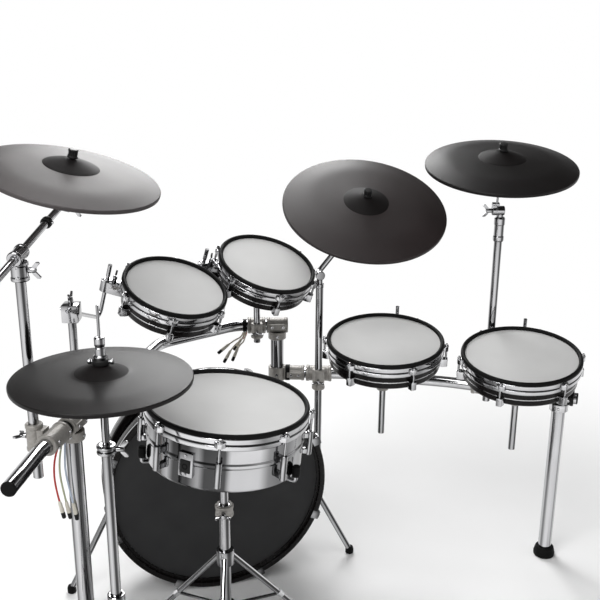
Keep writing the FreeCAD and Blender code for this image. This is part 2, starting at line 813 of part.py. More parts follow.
ride_pole_bottom = lower_pipe_height - size("ride_pole_drop", 290)
right_pole_top = lower_pipe_height + size("right_pole_rise", 504)
right_pole_bottom = lower_pipe_height - size("right_pole_drop", 60)
left_crash_spot = spot("left_crash", -544, -58, boom_clamp_height + size("left_crash_lift", 146))
ride_spot = spot("ride", 147, 417, ride_pole_top + size("ride_lift", 188))
left_crash_normal = (0.230, -0.120, 0.966)
ride_normal = (0.095, -0.442, 0.892)
right_crash_normal = (-0.010, -0.213, 0.977)


def cymbal_pad(name, radius, rise=bow_rise):
    """A bowed rubber pad with a bell, seated at the origin on its underside."""
    bell_top = pad_thickness + bell_rise
    bow_middle = radius * bow_share + bell_radius * (1 - bow_share)
    bow_drop = rise * bow_sink
    return revolved(name, [
        (pad_hole_radius, zero), (bell_radius, -dish_drop), (bow_middle, -bow_drop), (radius, -rise),
        (radius, pad_edge - rise), (bow_middle, pad_edge - bow_drop), (bell_radius, pad_thickness),
        (bell_shoulder_radius, pad_thickness + bell_shoulder_rise), (bell_top_radius, bell_top),
        (pad_hole_radius, bell_top)])


def cymbal_frame(normal):
    """The axes of a tilted pad: Z along its normal, X along its tilter's hinge."""
    up = vec(normal).normalize()
    hinge = Vector(up.z, 0, -up.x).normalize()
    return Rotation(hinge, up.cross(hinge), up, "ZXY"), up, hinge


def knuckle(name, width, side):
    """One toothed disc of a tilter, beside the pivot at +X or -X."""
    return cylinder(name, tilter_radius, width - face_gap, face_gap, (side, 0, 0))


def cymbal(prefix, radius, pivot, normal, stem, side=-1):
    """The tilter that turns about a pivot and the pad on its stem; its disc is at +X or -X."""
    rotation, up, hinge = cymbal_frame(normal)
    half_width = neck_width / 2
    disc = knuckle(prefix + "_disc", tilter_radius, side)
    cheek = block(prefix + "_cheek", tilter_radius - face_gap, neck_width,
                  tilter_radius + neck_gap + neck_height)
    cheek_x = -tilter_radius if side < 0 else face_gap
    cheek.Placement.Base = vec((cheek_x, -half_width, 0))
    neck = block(prefix + "_neck", tilter_radius + half_width, neck_width, neck_height)
    neck_x = -tilter_radius if side < 0 else -half_width
    neck.Placement.Base = vec((neck_x, -half_width, tilter_radius + neck_gap))
    pad_top = stem + pad_thickness + bell_rise + nut_gap
    shaft = cylinder(prefix + "_shaft", stem_radius, pad_top - tilter_radius, tilter_radius + neck_gap)
    seat = cylinder(prefix + "_seat", seat_radius, seat_height, stem - rock_gap - seat_height)
    nut = cylinder(prefix + "_nut", nut_radius, nut_height, pad_top)
    casting = put(fused(prefix + "_casting", [disc, cheek, neck, shaft, seat, nut]), pivot, rotation)
    bolt_line = hinge * side
    bolt = put(wing_bolt(prefix + "_tilter_bolt"), vec(pivot) + bolt_line * float(tilter_radius),
               turned(bolt_line))
    group(prefix + "_tilter", [casting, bolt])
    origin = vec(pivot) + up * float(stem)
    keep(put(cymbal_pad(prefix + "_rubber", radius), origin, rotation), prefix + "_pad")
    print("%s pivot %s seat %s hinge %s" % (prefix, vec(pivot), origin, hinge))


def pivot_of(spot_here, normal, stem):
    """The tilter's pivot under a pad whose edge is centred on a spot."""
    up = vec(normal).normalize()
    return vec(spot_here) + up * float(bow_rise - pad_edge / 2 - stem)


plug_radius = pole_radius - pole_wall - seat_gap
plug_length = tilter_radius * 3


def pole(name, place, bottom, top):
    return put(tube(name, pole_radius, pole_wall, top - bottom), at_height(place, bottom))


# Left crash: a pole, a swivelling boom clamp, a sliding boom, and the tilter at its end
left_pivot = pivot_of(left_crash_spot, left_crash_normal, left_stem)
left_rotation, left_up, left_hinge = cymbal_frame(left_crash_normal)
keep(pole("left_pole_tube", left_pole_spot, left_pole_bottom, left_pole_top), "left_crash_pole")
clamp_point = at_height(left_pole_spot, boom_clamp_height)
boom_width = boom_radius * 2 + neck_gap
boom_end = left_pivot - left_hinge * float(boom_width / 2 + face_gap)
flat_run = Vector(boom_end.x - clamp_point.x, boom_end.y - clamp_point.y, 0).normalize()
boom_start = clamp_point + Vector(0, 0, float(boom_over))
boom_line = (boom_end - boom_start).normalize()


def turned_sleeve(name, radius, length, middle, direction):
    piece = cylinder(name, radius, length)
    piece.Placement = Placement(middle - direction * float(length / 2), turned(direction))
    return piece


sleeve = turned_sleeve("swivel_sleeve", pole_radius + clamp_wall, boom_clamp_length, clamp_point,
                       Vector(0, 0, 1))
holder = turned_sleeve("boom_sleeve", boom_radius + clamp_wall, boom_clamp_length, boom_start, boom_line)
web = turned_sleeve("boom_web", boom_radius + clamp_wall, boom_over, (clamp_point + boom_start) * 0.5,
                    Vector(0, 0, 1))
bore_length = boom_clamp_length + left_pole_top + pole_room - boom_clamp_height
bore_middle = at_height(clamp_point, left_pole_top + pole_room - bore_length / 2)
pole_bore = turned_sleeve("swivel_bore", pole_radius + run_gap, bore_length, bore_middle, Vector(0, 0, 1))
boom_bore = turned_sleeve("boom_bore", boom_radius + run_gap, boom_clamp_length * 2, boom_start, boom_line)
clamp_solid = cut("boom_clamp_body", fused("boom_clamp_whole", [sleeve, holder, web]), [pole_bore, boom_bore])
lever_out = Vector(flat_run.y, -flat_run.x, 0)
lever = put(wing_bolt("boom_lever"), clamp_point + lever_out * float(pole_radius + clamp_wall),
            turned(lever_out))
group("left_crash_boom_clamp", [clamp_solid, lever])

boom_rod = bar("left_boom_rod", boom_radius, boom_start - boom_line * float(boom_tail), boom_end)
boom_disc = moved(knuckle("left_boom_disc", boom_width, -1), left_pivot, left_rotation)
keep(fused("left_boom_whole", [boom_rod, boom_disc]), "left_crash_boom")
cymbal("left_crash", crash_radius, left_pivot, left_crash_normal, left_stem, 1)
print("left crash clamp %s line %s" % (clamp_point, boom_line))

# Ride: a pole with a knuckle on top, a short boom that turns on it, and the tilter at its end
ride_pivot = pivot_of(ride_spot, ride_normal, ride_stem)
ride_rotation, ride_up, ride_hinge = cymbal_frame(ride_normal)
ride_top = at_height(ride_pole_spot, ride_pole_top)
ride_end = ride_pivot - ride_hinge * float(boom_width / 2 + face_gap)
ride_flat = Vector(ride_end.x - ride_top.x, ride_end.y - ride_top.y, 0).normalize()
swing_axis = Vector(-ride_flat.y, ride_flat.x, 0)
swing_rotation = Rotation(swing_axis, Vector(0, 0, 1).cross(swing_axis), Vector(0, 0, 1), "ZXY")
pole_disc = knuckle("ride_pole_knuckle", pole_radius * 2, -1)
pole_plug = moved(cylinder("ride_pole_plug", plug_radius, plug_length), (-pole_radius - face_gap, 0,
                                                                         -plug_length))
ride_tube = pole("ride_tube", ride_pole_spot, ride_pole_bottom, ride_pole_top - tilter_radius * 2)
ride_head = put(fused("ride_pole_head", [pole_disc, pole_plug]),
                ride_top + swing_axis * float(pole_radius + face_gap),
                swing_rotation)
group("ride_pole", [ride_tube, ride_head])
swing_point = ride_top + swing_axis * float(pole_radius + face_gap)
ride_start = swing_point + swing_axis * float(boom_width / 2 + face_gap + neck_gap)
ride_line = (ride_end - ride_start).normalize()
ride_rod = bar("ride_boom_rod", boom_radius, ride_start, ride_end)
swing_disc = moved(knuckle("ride_swing_disc", boom_width + neck_gap * 2, 1), swing_point, swing_rotation)
ride_disc = moved(knuckle("ride_boom_disc", boom_width, -1), ride_pivot, ride_rotation)
keep(fused("ride_boom_whole", [ride_rod, swing_disc, ride_disc]), "ride_boom")
cymbal("ride", ride_radius, ride_pivot, ride_normal, ride_stem, 1)
print("ride swing %s axis %s" % (swing_point, swing_axis))

# Right crash: a straight pole with the tilter on its top
right_rotation, right_up, right_hinge = cymbal_frame(right_crash_normal)
right_top = at_height(right_pole_spot, right_pole_top)
right_pivot = right_top - right_hinge * float(pole_radius + face_gap)
right_tube = pole("right_tube", right_pole_spot, right_pole_bottom, right_pole_top - tilter_radius * 2)
right_disc = moved(knuckle("right_pole_disc", pole_radius * 2, 1), right_pivot, right_rotation)
right_plug = put(cylinder("right_pole_plug", plug_radius, plug_length),
                 right_top - Vector(0, 0, float(plug_length)))
group("right_crash_pole", [right_tube, fused("right_pole_head", [right_disc, right_plug])])
cymbal("right_crash", crash_radius, right_pivot, right_crash_normal, right_stem)

# Floor tripods for the snare and the hi-hat
leg_radius = size("leg_radius", 7)
brace_radius = size("brace_radius", 4)
leg_start = size("leg_start", 4)
leg_collar = size("leg_collar", 40)
brace_collar = size("brace_collar", 24)
tripod_foot_radius = size("tripod_foot_radius", 13)
tripod_foot_height = size("tripod_foot_height", 24)
brace_share = 0.55


def ring_point(reach, angle, height):
    turn = math.radians(angle)
    return Vector(float(reach) * math.cos(turn), float(reach) * math.sin(turn), float(height))


def tripod(name, tube_radius, reach, top, low, first_angle):
    """Three braced legs round a tube that stands on the origin."""
    pieces = [cylinder(name + "_collar", tube_radius + clamp_wall, leg_collar, top - leg_collar / 2),
              cylinder(name + "_brace_collar", tube_radius + clamp_wall, brace_collar,
                       low - brace_collar / 2)]
    for i in range(3):
        angle = first_angle + 120 * i
        leg_top = ring_point(tube_radius + leg_start, angle, top)
        leg_end = ring_point(reach, angle, tripod_foot_height / 2)
        brace_end = leg_top + (leg_end - leg_top) * brace_share
        pieces.append(bar("%s_leg_%d" % (name, i), leg_radius, leg_top, leg_end))
        pieces.append(bar("%s_brace_%d" % (name, i), brace_radius, ring_point(tube_radius + leg_start, angle,
                                                                              low),
                          brace_end))
        pieces.append(put(cylinder("%s_foot_%d" % (name, i), tripod_foot_radius, tripod_foot_height),
                          ring_point(reach, angle, zero)))
    bore = cylinder(name + "_bore", tube_radius + seat_gap, top * 2)
    return cut(name, fused(name + "_whole", pieces), [bore])


def collar(name, bore_radius, outer, height):
    return tube(name, outer, outer - bore_radius, height)


# Hi-hat: a stand with a pedal, a pull rod with a clutch, and two pads
hihat_spot = vec((*spot("hihat", -419, -418), 0))
hihat_tube_radius = size("hihat_tube_radius", 11)
hihat_neck_radius = size("hihat_neck_radius", 8)
hihat_neck_bore = size("hihat_neck_bore", 5)
hihat_neck_bottom = hihat_height - size("hihat_neck_drop", 228)
hihat_tube_top = hihat_height - size("hihat_tube_drop", 156)
lock_radius = size("lock_radius", 20)
lock_height = size("lock_height", 20)
cup_radius = size("cup_radius", 24)
cup_height = size("cup_height", 12)
hihat_rise = size("hihat_rise", 12)
lower_hole_radius = size("lower_hole_radius", 6)
hihat_leg_reach = size("hihat_leg_reach", 260)
hihat_leg_top = size("hihat_leg_top", 320)
hihat_leg_low = size("hihat_leg_low", 150)
base_top = size("base_top", 108)
base_half_width = size("base_half_width", 40)
base_half_length = size("base_half_length", 22)
base_plate = size("base_plate", 8)
side_plate = size("side_plate", 4)
side_plate_lift = size("side_plate_lift", 4)
heel_back = size("heel_back", 205)
heel_length = size("heel_length", 54)
heel_front = size("heel_front", 14)
heel_plate = size("heel_plate", 6)
heel_height = size("heel_height", 14)
ear_thickness = size("ear_thickness", 6)
barrel_radius = size("barrel_radius", 5)
frame_rod_radius = size("frame_rod_radius", 4)
frame_rod_height = size("frame_rod_height", 4.5)
board_half_width = size("board_half_width", 34)
board_length = size("board_length", 218)
board_thickness = size("board_thickness", 8)
board_slope = 12
pull_rod_bottom = size("pull_rod_bottom", 62.8)
pull_rod_top = hihat_height + size("pull_rod_rise", 157)
clutch_radius = size("clutch_radius", 9)
clutch_base_radius = size("clutch_base_radius", 17)
clutch_base_height = size("clutch_base_height", 12)
clutch_top = hihat_height + size("clutch_rise", 93)

lower_pad_top = hihat_height - hihat_gap
lower_pad_bottom = lower_pad_top - hihat_lower_thickness
upper_seat = hihat_height + hihat_rise
bell_top_height = upper_seat + pad_thickness + bell_rise


def box_between(name, low, high):
    """A plain block from one corner to the opposite one."""
    sizes = [top - bottom for bottom, top in zip(low, high)]
    piece = block(name, *sizes)
    piece.Placement.Base = vec(low)
    return piece


def hihat_base():
    """The pedal frame: a yoke under the tube, two long rods and the heel plate with its ears."""
    heel = -heel_back
    pieces = [box_between("yoke_top", (-base_half_width, -base_half_length, base_top - base_plate),
                          (base_half_width, base_half_length, base_top)),
              box_between("heel_pad", (-base_half_width - side_plate, heel + heel_front - heel_length, zero),
                          (base_half_width + side_plate, heel + heel_front, heel_plate))]
    for side, sign in (("left", -1), ("right", 1)):
        outer = base_half_width * sign
        inner = (base_half_width - side_plate) * sign
        low_x, high_x = (inner, outer) if sign > 0 else (outer, inner)
        pieces.append(box_between(side + "_yoke_side", (low_x, -base_half_length, side_plate_lift),
                                  (high_x, base_half_length, base_top)))
        ear_x = base_half_width * sign - ear_thickness / 2
        pieces.append(box_between(side + "_heel_ear", (ear_x, heel - barrel_radius * 2, zero),
                                  (ear_x + ear_thickness, heel + barrel_radius * 2,
                                   heel_height + barrel_radius * 2)))
        pieces.append(bar(side + "_frame_rod", frame_rod_radius, (outer, 0, frame_rod_height),
                          (outer, heel, frame_rod_height)))
    barrel_bore = put(cylinder("barrel_bore", barrel_radius + run_gap, base_half_width * 4), (0, 0, 0))
    barrel_bore.Placement = Placement(vec((-(base_half_width * 2), heel, heel_height)), turned((1, 0, 0)))
    rod_bore = cylinder("yoke_bore", lower_hole_radius, base_plate * 4, base_top - base_plate * 2)
    return cut("hihat_base", fused("hihat_base_whole", pieces), [barrel_bore, rod_bore])


hihat_low_tube = tube("hihat_low_tube", hihat_tube_radius, hihat_tube_radius - hihat_neck_radius - run_gap,
                      hihat_tube_top - base_top)
hihat_neck = revolved("hihat_neck", [
    (hihat_neck_bore, hihat_neck_bottom), (hihat_neck_radius, hihat_neck_bottom),
    (hihat_neck_radius, lower_pad_bottom - head_gap - cup_height),
    (cup_radius, lower_pad_bottom - head_gap - cup_height / 2),
    (cup_radius, lower_pad_bottom - head_gap), (hihat_neck_bore, lower_pad_bottom - head_gap)])
lock = collar("hihat_lock", hihat_neck_radius + seat_gap, lock_radius, lock_height)
lock_bolt = put(wing_bolt("hihat_lock_bolt"), hihat_spot + vec((lock_radius, 0,
                                                                hihat_tube_top + lock_height / 2)),
                turned((1, 0, 0)))
group("hihat_stand", [
    put(tripod("hihat_legs", hihat_tube_radius, hihat_leg_reach, hihat_leg_top, hihat_leg_low, 90),
        hihat_spot),
    put(hihat_low_tube, hihat_spot + vec((0, 0, base_top))), put(hihat_neck, hihat_spot),
    put(lock, hihat_spot + vec((0, 0, hihat_tube_top))), lock_bolt, put(hihat_base(), hihat_spot)])

board = box_between("board_plate", (-board_half_width, zero, -board_thickness / 2),
                    (board_half_width, board_length, board_thickness / 2))
barrel = cylinder("board_barrel", barrel_radius, base_half_width * 2 + side_plate,
                  -(base_half_width + side_plate / 2),
                  (1, 0, 0))
heel_point = hihat_spot + vec((0, -heel_back, heel_height))
keep(put(fused("board_whole", [board, barrel]), heel_point, Rotation(Vector(1, 0, 0), board_slope)),
     "hihat_pedal")

pull_rod = cylinder("pull_rod_shaft", stem_radius, pull_rod_top - pull_rod_bottom, pull_rod_bottom)
under_nut = cylinder("under_nut", clutch_radius, seat_height, upper_seat - head_gap - seat_height)
clutch_base = cylinder("clutch_base", clutch_base_radius, clutch_base_height, bell_top_height + head_gap)
clutch = cylinder("clutch_tube", clutch_radius, clutch_top - bell_top_height - head_gap,
                  bell_top_height + head_gap)
clutch_bolts = []
for side, sign in (("left", -1), ("right", 1)):
    bolt_spot = vec((clutch_base_radius * sign, 0, bell_top_height + head_gap + clutch_base_height / 2))
    clutch_bolts.append(put(wing_bolt(side + "_clutch_bolt"), hihat_spot + bolt_spot, turned((sign, 0, 0),
                                                                                             90)))
pull_rod_whole = put(fused("pull_rod", [pull_rod, under_nut, clutch_base, clutch]), hihat_spot)
group("hihat_rod", [pull_rod_whole] + clutch_bolts)
keep(put(cymbal_pad("hihat_upper", hihat_radius, hihat_rise), hihat_spot + vec((0, 0, upper_seat))),
     "hihat_top_pad")
keep(put(tube("hihat_lower", hihat_lower_radius, hihat_lower_radius - lower_hole_radius,
              hihat_lower_thickness),
         hihat_spot + vec((0, 0, lower_pad_bottom))), "hihat_bottom_pad")
print("hihat heel %s" % heel_point)

# Snare: the drum, the basket it sits in and the stand the basket slides in
snare_lug_height = size("snare_lug_height", 58)
basket_arm_radius = size("basket_arm_radius", 5)
basket_bend = size("basket_bend", 7)
basket_gap = size("basket_gap", 0.6)
basket_tip_radius = size("basket_tip_radius", 9)
basket_tip_top = size("basket_tip_top", 32)
basket_tip_length = size("basket_tip_length", 26)
basket_hub_radius = size("basket_hub_radius", 22)
basket_hub_height = size("basket_hub_height", 44)
basket_stem_radius = size("basket_stem_radius", 10)
snare_tube_radius = size("snare_tube_radius", 13)
snare_tube_bottom = size("snare_tube_bottom", 110)
snare_tube_top = snare_spot[2] - snare_depth - size("snare_tube_drop", 127)
basket_stem_bottom = snare_tube_top - size("basket_stem_depth", 140)
snare_leg_reach = size("snare_leg_reach", 255)
snare_leg_top = size("snare_leg_top", 290)
snare_leg_low = size("snare_leg_low", 150)
snare_collar_radius = size("snare_collar_radius", 22)
snare_collar_height = size("snare_collar_height", 30)
basket_angles = (-28, 107, 197)
jack_width = size("jack_width", 34)
jack_height = size("jack_height", 56)
jack_depth = size("jack_depth", 10)
jack_drop = size("jack_drop", 102)
jack_angle = -112.5



def jack_plate(name):
    """The raised plate on the snare's shell that carries its cable socket."""
    body = new_body(name)
    inner = snare_shell_radius + seat_gap
    extrude(body, lambda sketch: draw_outline(sketch, rectangle(inner, inner + jack_depth, jack_width / 2)),
            jack_height, -jack_drop)
    return body


snare_pieces = drum("snare", snare_shell_radius, snare_depth, snare_lug_height, 8, snare_spot, snare_normal, -90)
jack = put(jack_plate("snare_jack"), snare_spot, turned(snare_normal, jack_angle))
group("snare_shell", snare_pieces + [jack])
snare_axis = vec(snare_normal).normalize()
snare_rotation = turned(snare_normal)
snare_bottom = vec(snare_spot) - snare_axis * float(snare_depth)
arm_height = -(basket_gap + basket_arm_radius)
tip_reach = snare_shell_radius + basket_gap + basket_tip_radius
arms = []
tips = []
for i, angle in enumerate(basket_angles):
    route = [ring_point(basket_hub_radius / 2, angle, arm_height), ring_point(tip_reach, angle, arm_height),
             ring_point(tip_reach, angle, basket_tip_top)]
    arms.append(bent_tube("basket_arm_%d" % i, route, basket_bend, basket_arm_radius))
    tip = collar("basket_tip_%d" % i, basket_arm_radius + seat_gap, basket_tip_radius, basket_tip_length)
    tips.append(put(tip, snare_bottom + snare_rotation.multVec(
        ring_point(tip_reach, angle, basket_tip_top - basket_tip_length)), snare_rotation))
hub = cylinder("basket_hub", basket_hub_radius, basket_hub_height, basket_gap + basket_arm_radius / 2, (0, 0,
                                                                                                        -1))
cradle = put(fused("basket_cradle", arms + [hub]), snare_bottom, snare_rotation)
hub_middle = snare_bottom - snare_axis * float(basket_hub_height / 2)
stem = bar("basket_stem", basket_stem_radius, at_height(hub_middle, basket_stem_bottom), hub_middle)
group("snare_basket", [fused("basket_whole", [cradle, stem])] + tips)
snare_stand_spot = at_height(hub_middle, zero)
snare_tube = tube("snare_tube", snare_tube_radius, snare_tube_radius - basket_stem_radius - run_gap,
                  snare_tube_top - snare_tube_bottom)
snare_collar = collar("snare_collar", snare_tube_radius + seat_gap, snare_collar_radius, snare_collar_height)
snare_bolt_spot = vec((0, -snare_collar_radius, snare_tube_top - snare_collar_height / 2))
snare_legs = tripod("snare_legs", snare_tube_radius, snare_leg_reach, snare_leg_top, snare_leg_low, -90)
group("snare_stand", [
    put(snare_legs, snare_stand_spot), put(snare_tube, snare_stand_spot + vec((0, 0, snare_tube_bottom))),
    put(snare_collar, snare_stand_spot + vec((0, 0, snare_tube_top - snare_collar_height))),
    put(wing_bolt("snare_stand_bolt"), snare_stand_spot + snare_bolt_spot, turned((0, -1, 0)))])

# Kick: drawn about its own axis, with the middle of its playing side at the origin
kick_spot = spot("kick", -247, 110)
kick_wall = size("kick_wall", 8)
kick_inset = size("kick_inset", 20)
kick_head_top = size("kick_head_top", 18.2)
kick_head_thickness = size("kick_head_thickness", 1.5)
kick_flesh_depth = size("kick_flesh_depth", 32)
kick_lip = size("kick_lip", 5)
claw_half_width = size("claw_half_width", 12)
claw_reach = size("claw_reach", 8)
claw_length = size("claw_length", 36)
kick_rod_radius = size("kick_rod_radius", 3.5)
kick_bar_half_width = size("kick_bar_half_width", 10)
kick_bar_half_length = kick_shell_radius - kick_wall - head_gap
kick_bar_thickness = size("kick_bar_thickness", 12)
kick_bar_depth = size("kick_bar_depth", 100)
kick_foam_radius = size("kick_foam_radius", 50)
spur_boss_radius = size("spur_boss_radius", 14)
spur_boss_length = size("spur_boss_length", 26)
spur_depth = kick_depth / 2 + kick_inset
spur_foot_reach = size("spur_foot_reach", 402)
spur_foot_radius = size("spur_foot_radius", 12)
spur_foot_height = size("spur_foot_height", 22)
spur_drop_angle = 12
kick_facing = (0.26, -0.9656, 0)
claw_count = 8
claw_start = 22.5

kick_axis = vec(kick_facing).normalize()
kick_side = Vector(-kick_axis.y, kick_axis.x, 0)
kick_up = Vector(0, 0, 1)
kick_middle = vec((*kick_spot, kick_hoop_radius))
kick_total = kick_depth + kick_inset * 2
kick_rotation = Rotation(kick_side, kick_up, kick_axis, "ZXY")
front_rotation = Rotation(-kick_side, kick_up, -kick_axis, "ZXY")
front_middle = kick_middle - kick_axis * float(kick_total)


def kick_hoop(name):
    inner = kick_hoop_radius - kick_hoop_wall
    flesh = kick_shell_radius + flesh_width + head_gap
    lip_bottom = head_gap - kick_head_top
    body = new_body(name)
    revolve(body, [
        (inner, zero), (kick_hoop_radius, zero), (kick_hoop_radius, -kick_hoop_width), (flesh,
                                                                                        -kick_hoop_width),
        (flesh, lip_bottom), (kick_shell_radius, lip_bottom), (kick_shell_radius, lip_bottom + kick_lip),
        (inner, lip_bottom + kick_lip)])
    outline = rectangle(kick_hoop_radius - groove_depth, kick_hoop_radius + claw_reach, claw_half_width)
    claw = extrude(body, lambda sketch: draw_outline(sketch, outline), claw_length, -claw_length)
    ring_of(body, [claw], claw_count)
    return body


def kick_head(name):
    flesh = kick_shell_radius + flesh_width
    inner = kick_shell_radius + head_gap
    bottom = -kick_head_top - kick_head_thickness
    return revolved(name, [
        (zero, -kick_head_top), (flesh, -kick_head_top), (flesh, -kick_flesh_depth), (inner,
                                                                                      -kick_flesh_depth),
        (inner, bottom), (zero, bottom)])


claw_turn = Rotation(Vector(0, 0, 1), claw_start)
kick_tube = put(tube("kick_tube", kick_shell_radius, kick_wall, kick_depth), kick_middle - kick_axis *
                float(kick_inset + kick_depth), kick_rotation)
keep(kick_tube, "kick_shell")
through_rods = new_body("kick_rods")
rod_ring = kick_hoop_radius - kick_hoop_wall / 2
rod_room = kick_total - kick_hoop_width * 2
through_rod = extrude(through_rods, lambda sketch: draw_circle(sketch, rod_ring, zero, kick_rod_radius),
                      rod_room, -(kick_hoop_width + rod_room))
ring_of(through_rods, [through_rod], claw_count)
group("kick_hoops", [
    put(kick_hoop("batter_hoop"), kick_middle, kick_rotation.multiply(claw_turn)),
    put(kick_hoop("front_hoop"), front_middle, front_rotation.multiply(claw_turn)),
    put(through_rods, kick_middle, kick_rotation.multiply(claw_turn))])
group("kick_heads", [put(kick_head("batter_head"), kick_middle, kick_rotation),
                     put(kick_head("front_head"), front_middle, front_rotation)])
kick_bar = box_between("kick_bar", (-kick_bar_half_length, -kick_bar_half_width, -kick_bar_depth),
                       (kick_bar_half_length, kick_bar_half_width, kick_bar_thickness - kick_bar_depth))
kick_foam = cylinder("kick_foam", kick_foam_radius, kick_bar_depth - kick_inset, -kick_bar_depth)
keep(put(fused("kick_trigger", [kick_bar, kick_foam]), kick_middle, kick_rotation), "kick_sensor")

for side, sign in (("left", -1), ("right", 1)):
    tilt = math.radians(spur_drop_angle)
    spur_line = Vector(sign * math.cos(tilt), -math.sin(tilt), 0)
    boss_start = spur_line * float(kick_shell_radius + head_gap) + vec((0, 0, -spur_depth))
    boss_end = boss_start + spur_line * float(spur_boss_length)
    bar_start = boss_start + spur_line * float(spur_boss_length / 2)
    foot_spot = vec((spur_foot_reach * sign, -kick_hoop_radius, -spur_depth))
    bar_end = foot_spot + vec((0, spur_foot_height / 2, 0))
    boss = bar(side + "_spur_boss", spur_boss_radius, boss_start, boss_end)
    spur_bar = bar(side + "_spur_bar", spur_radius, bar_start, bar_end)
    foot = bar(side + "_spur_foot", spur_foot_radius, foot_spot, foot_spot + vec((0, spur_foot_height, 0)))
    keep(put(fused(side + "_spur", [boss, spur_bar, foot]), kick_middle, kick_rotation),
         "kick_%s_spur" % side)
    print("kick %s spur %s axis %s" % (side, kick_middle + kick_rotation.multVec(bar_start),
                                       kick_rotation.multVec(spur_line)))

# Cable tails that hang from two straps on the rack, with their plugs
cable_radius = size("cable_radius", 2.2)
thin_cable_radius = size("thin_cable_radius", 1.6)
plug_body_radius = size("plug_body_radius", 5)
plug_body_length = size("plug_body_length", 26)
strap_thickness = size("strap_thickness", 2.5)
strap_width = size("strap_width", 12)
strap_gap = size("strap_gap", 0.6)
# Routes in plan, with each height given from the upper pipe or the hi-hat
centre_tails = [
    [(-196, 447, -19.8), (-199, 445, -33), (-226, 438, -44), (-250, 434, -64)],
    [(-192, 452, -19.8), (-196, 450, -42), (-226, 447, -62), (-242, 447, -92)],
    [(-189, 447, -19.8), (-191, 445, -46), (-209, 443, -60), (-219, 443, -84)],
    [(-186, 453, -19.8), (-188, 455, -36), (-202, 457, -44), (-211, 458, -58)],
]
left_tails = [
    [(-549, -276, -19.8), (-562, -281, -50), (-571, -280, -96), (-569, -279, -146), (-561, -278, -190)],
    [(-546, -272.5, -19.8), (-555, -274, -54), (-561, -271, -102), (-556, -270, -152), (-549, -269, -196)],
    [(-543, -269, -19.8), (-546, -268, -58), (-550, -264, -104), (-543, -262, -158), (-536, -261, -204)],
]
hihat_tail = [(-414, -447, -36.8), (-411, -452, -60), (-413, -450, -93), (-416, -432, -134)]
cable_pieces = []


def strap_on(name, run, share_y=None, share_x=None):
    """A strap round a pipe."""
    point, heading = along(*run, share_y=share_y, share_x=share_x)
    band = collar(name, pipe_radius + strap_gap, pipe_radius + strap_thickness, strap_width)
    start = at_height(point, upper_pipe_height) - heading * float(strap_width / 2)
    cable_pieces.append(put(band, start, turned(heading)))


def cable(name, route, level, radius, plug):
    points = [(x, y, float(level) + lift) for x, y, lift in route]
    path, radii = bent_path(points, None)
    cord = doc.addObject("Part::Feature", name)
    cord.Shape = swept(path, radius)
    cable_pieces.append(cord)
    print("%s length %.0f" % (name, path.Length))
    if plug:
        end = vec(points[-1])
        line = (end - vec(points[-2])).normalize()
        cable_pieces.append(bar(name + "_plug", plug_body_radius, end, end + line * float(plug_body_length)))


centre_strap_x = size("centre_strap_x", -191)
left_strap_y = size("left_strap_y", -272.5)
strap_on("centre_strap", far_run, share_x=float(centre_strap_x))
strap_on("left_strap", left_run, share_y=float(left_strap_y))
for i, route in enumerate(centre_tails):
    cable("centre_tail_%d" % i, route, upper_pipe_height, cable_radius, True)
for i, route in enumerate(left_tails):
    cable("left_tail_%d" % i, route, upper_pipe_height, cable_radius, True)
cable("hihat_tail", hihat_tail, hihat_height, thin_cable_radius, False)
group("cable_tails", cable_pieces)

# Set the kit over the middle of its own footprint
kit_shift_x = size("kit_shift_x", -4.5)
kit_shift_y = size("kit_shift_y", 19.3)


def check_and_write():
    """Recompute, stop on any failed piece, and write each node."""
    doc.recompute()
    for node in nodes:
        node.Placement.Base = node.Placement.Base + vec((kit_shift_x, kit_shift_y, 0))
    doc.recompute()
    for item in doc.Objects:
        if "Invalid" in item.State or "Error" in item.State:
            raise RuntimeError("failed: %s %s" % (item.Label, item.State))
    os.makedirs("parts", exist_ok=True)
    for node in nodes:
        shape = node.Shape
        if shape.isNull() or not shape.isValid() or not shape.Solids:
            raise RuntimeError("bad shape: " + node.Label)
    for node in nodes:
        node.Shape.exportStep("parts/%s.step" % node.Label)


check_and_write()
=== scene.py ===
import math

import bmesh
import bpy
from mathutils import Matrix, Vector


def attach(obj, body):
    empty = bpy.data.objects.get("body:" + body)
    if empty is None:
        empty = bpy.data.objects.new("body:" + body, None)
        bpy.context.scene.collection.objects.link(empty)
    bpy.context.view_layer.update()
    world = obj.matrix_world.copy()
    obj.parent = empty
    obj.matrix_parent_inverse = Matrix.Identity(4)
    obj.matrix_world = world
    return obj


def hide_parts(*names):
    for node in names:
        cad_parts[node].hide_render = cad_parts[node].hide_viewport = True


# An electronic drum kit.
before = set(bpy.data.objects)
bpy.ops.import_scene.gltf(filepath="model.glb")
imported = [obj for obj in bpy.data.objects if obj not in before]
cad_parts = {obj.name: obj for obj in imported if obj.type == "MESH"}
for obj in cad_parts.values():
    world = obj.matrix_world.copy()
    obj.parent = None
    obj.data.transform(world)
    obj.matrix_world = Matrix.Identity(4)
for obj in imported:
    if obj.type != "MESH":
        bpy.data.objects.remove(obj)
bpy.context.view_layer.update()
SHIFT = Vector((-4.5, 19.3, 0))
MILLIMETRE = 0.001
SHARP_ANGLE = math.radians(32)
UP = Vector((0, 0, 1))


def in_frame(place):
    return (Vector(place) + SHIFT) * MILLIMETRE


def show(name, data):
    """A new object in the scene."""
    made = bpy.data.objects.new(name, data)
    bpy.context.scene.collection.objects.link(made)
    return made


# Materials
def grey(level):
    return (level, level, level)


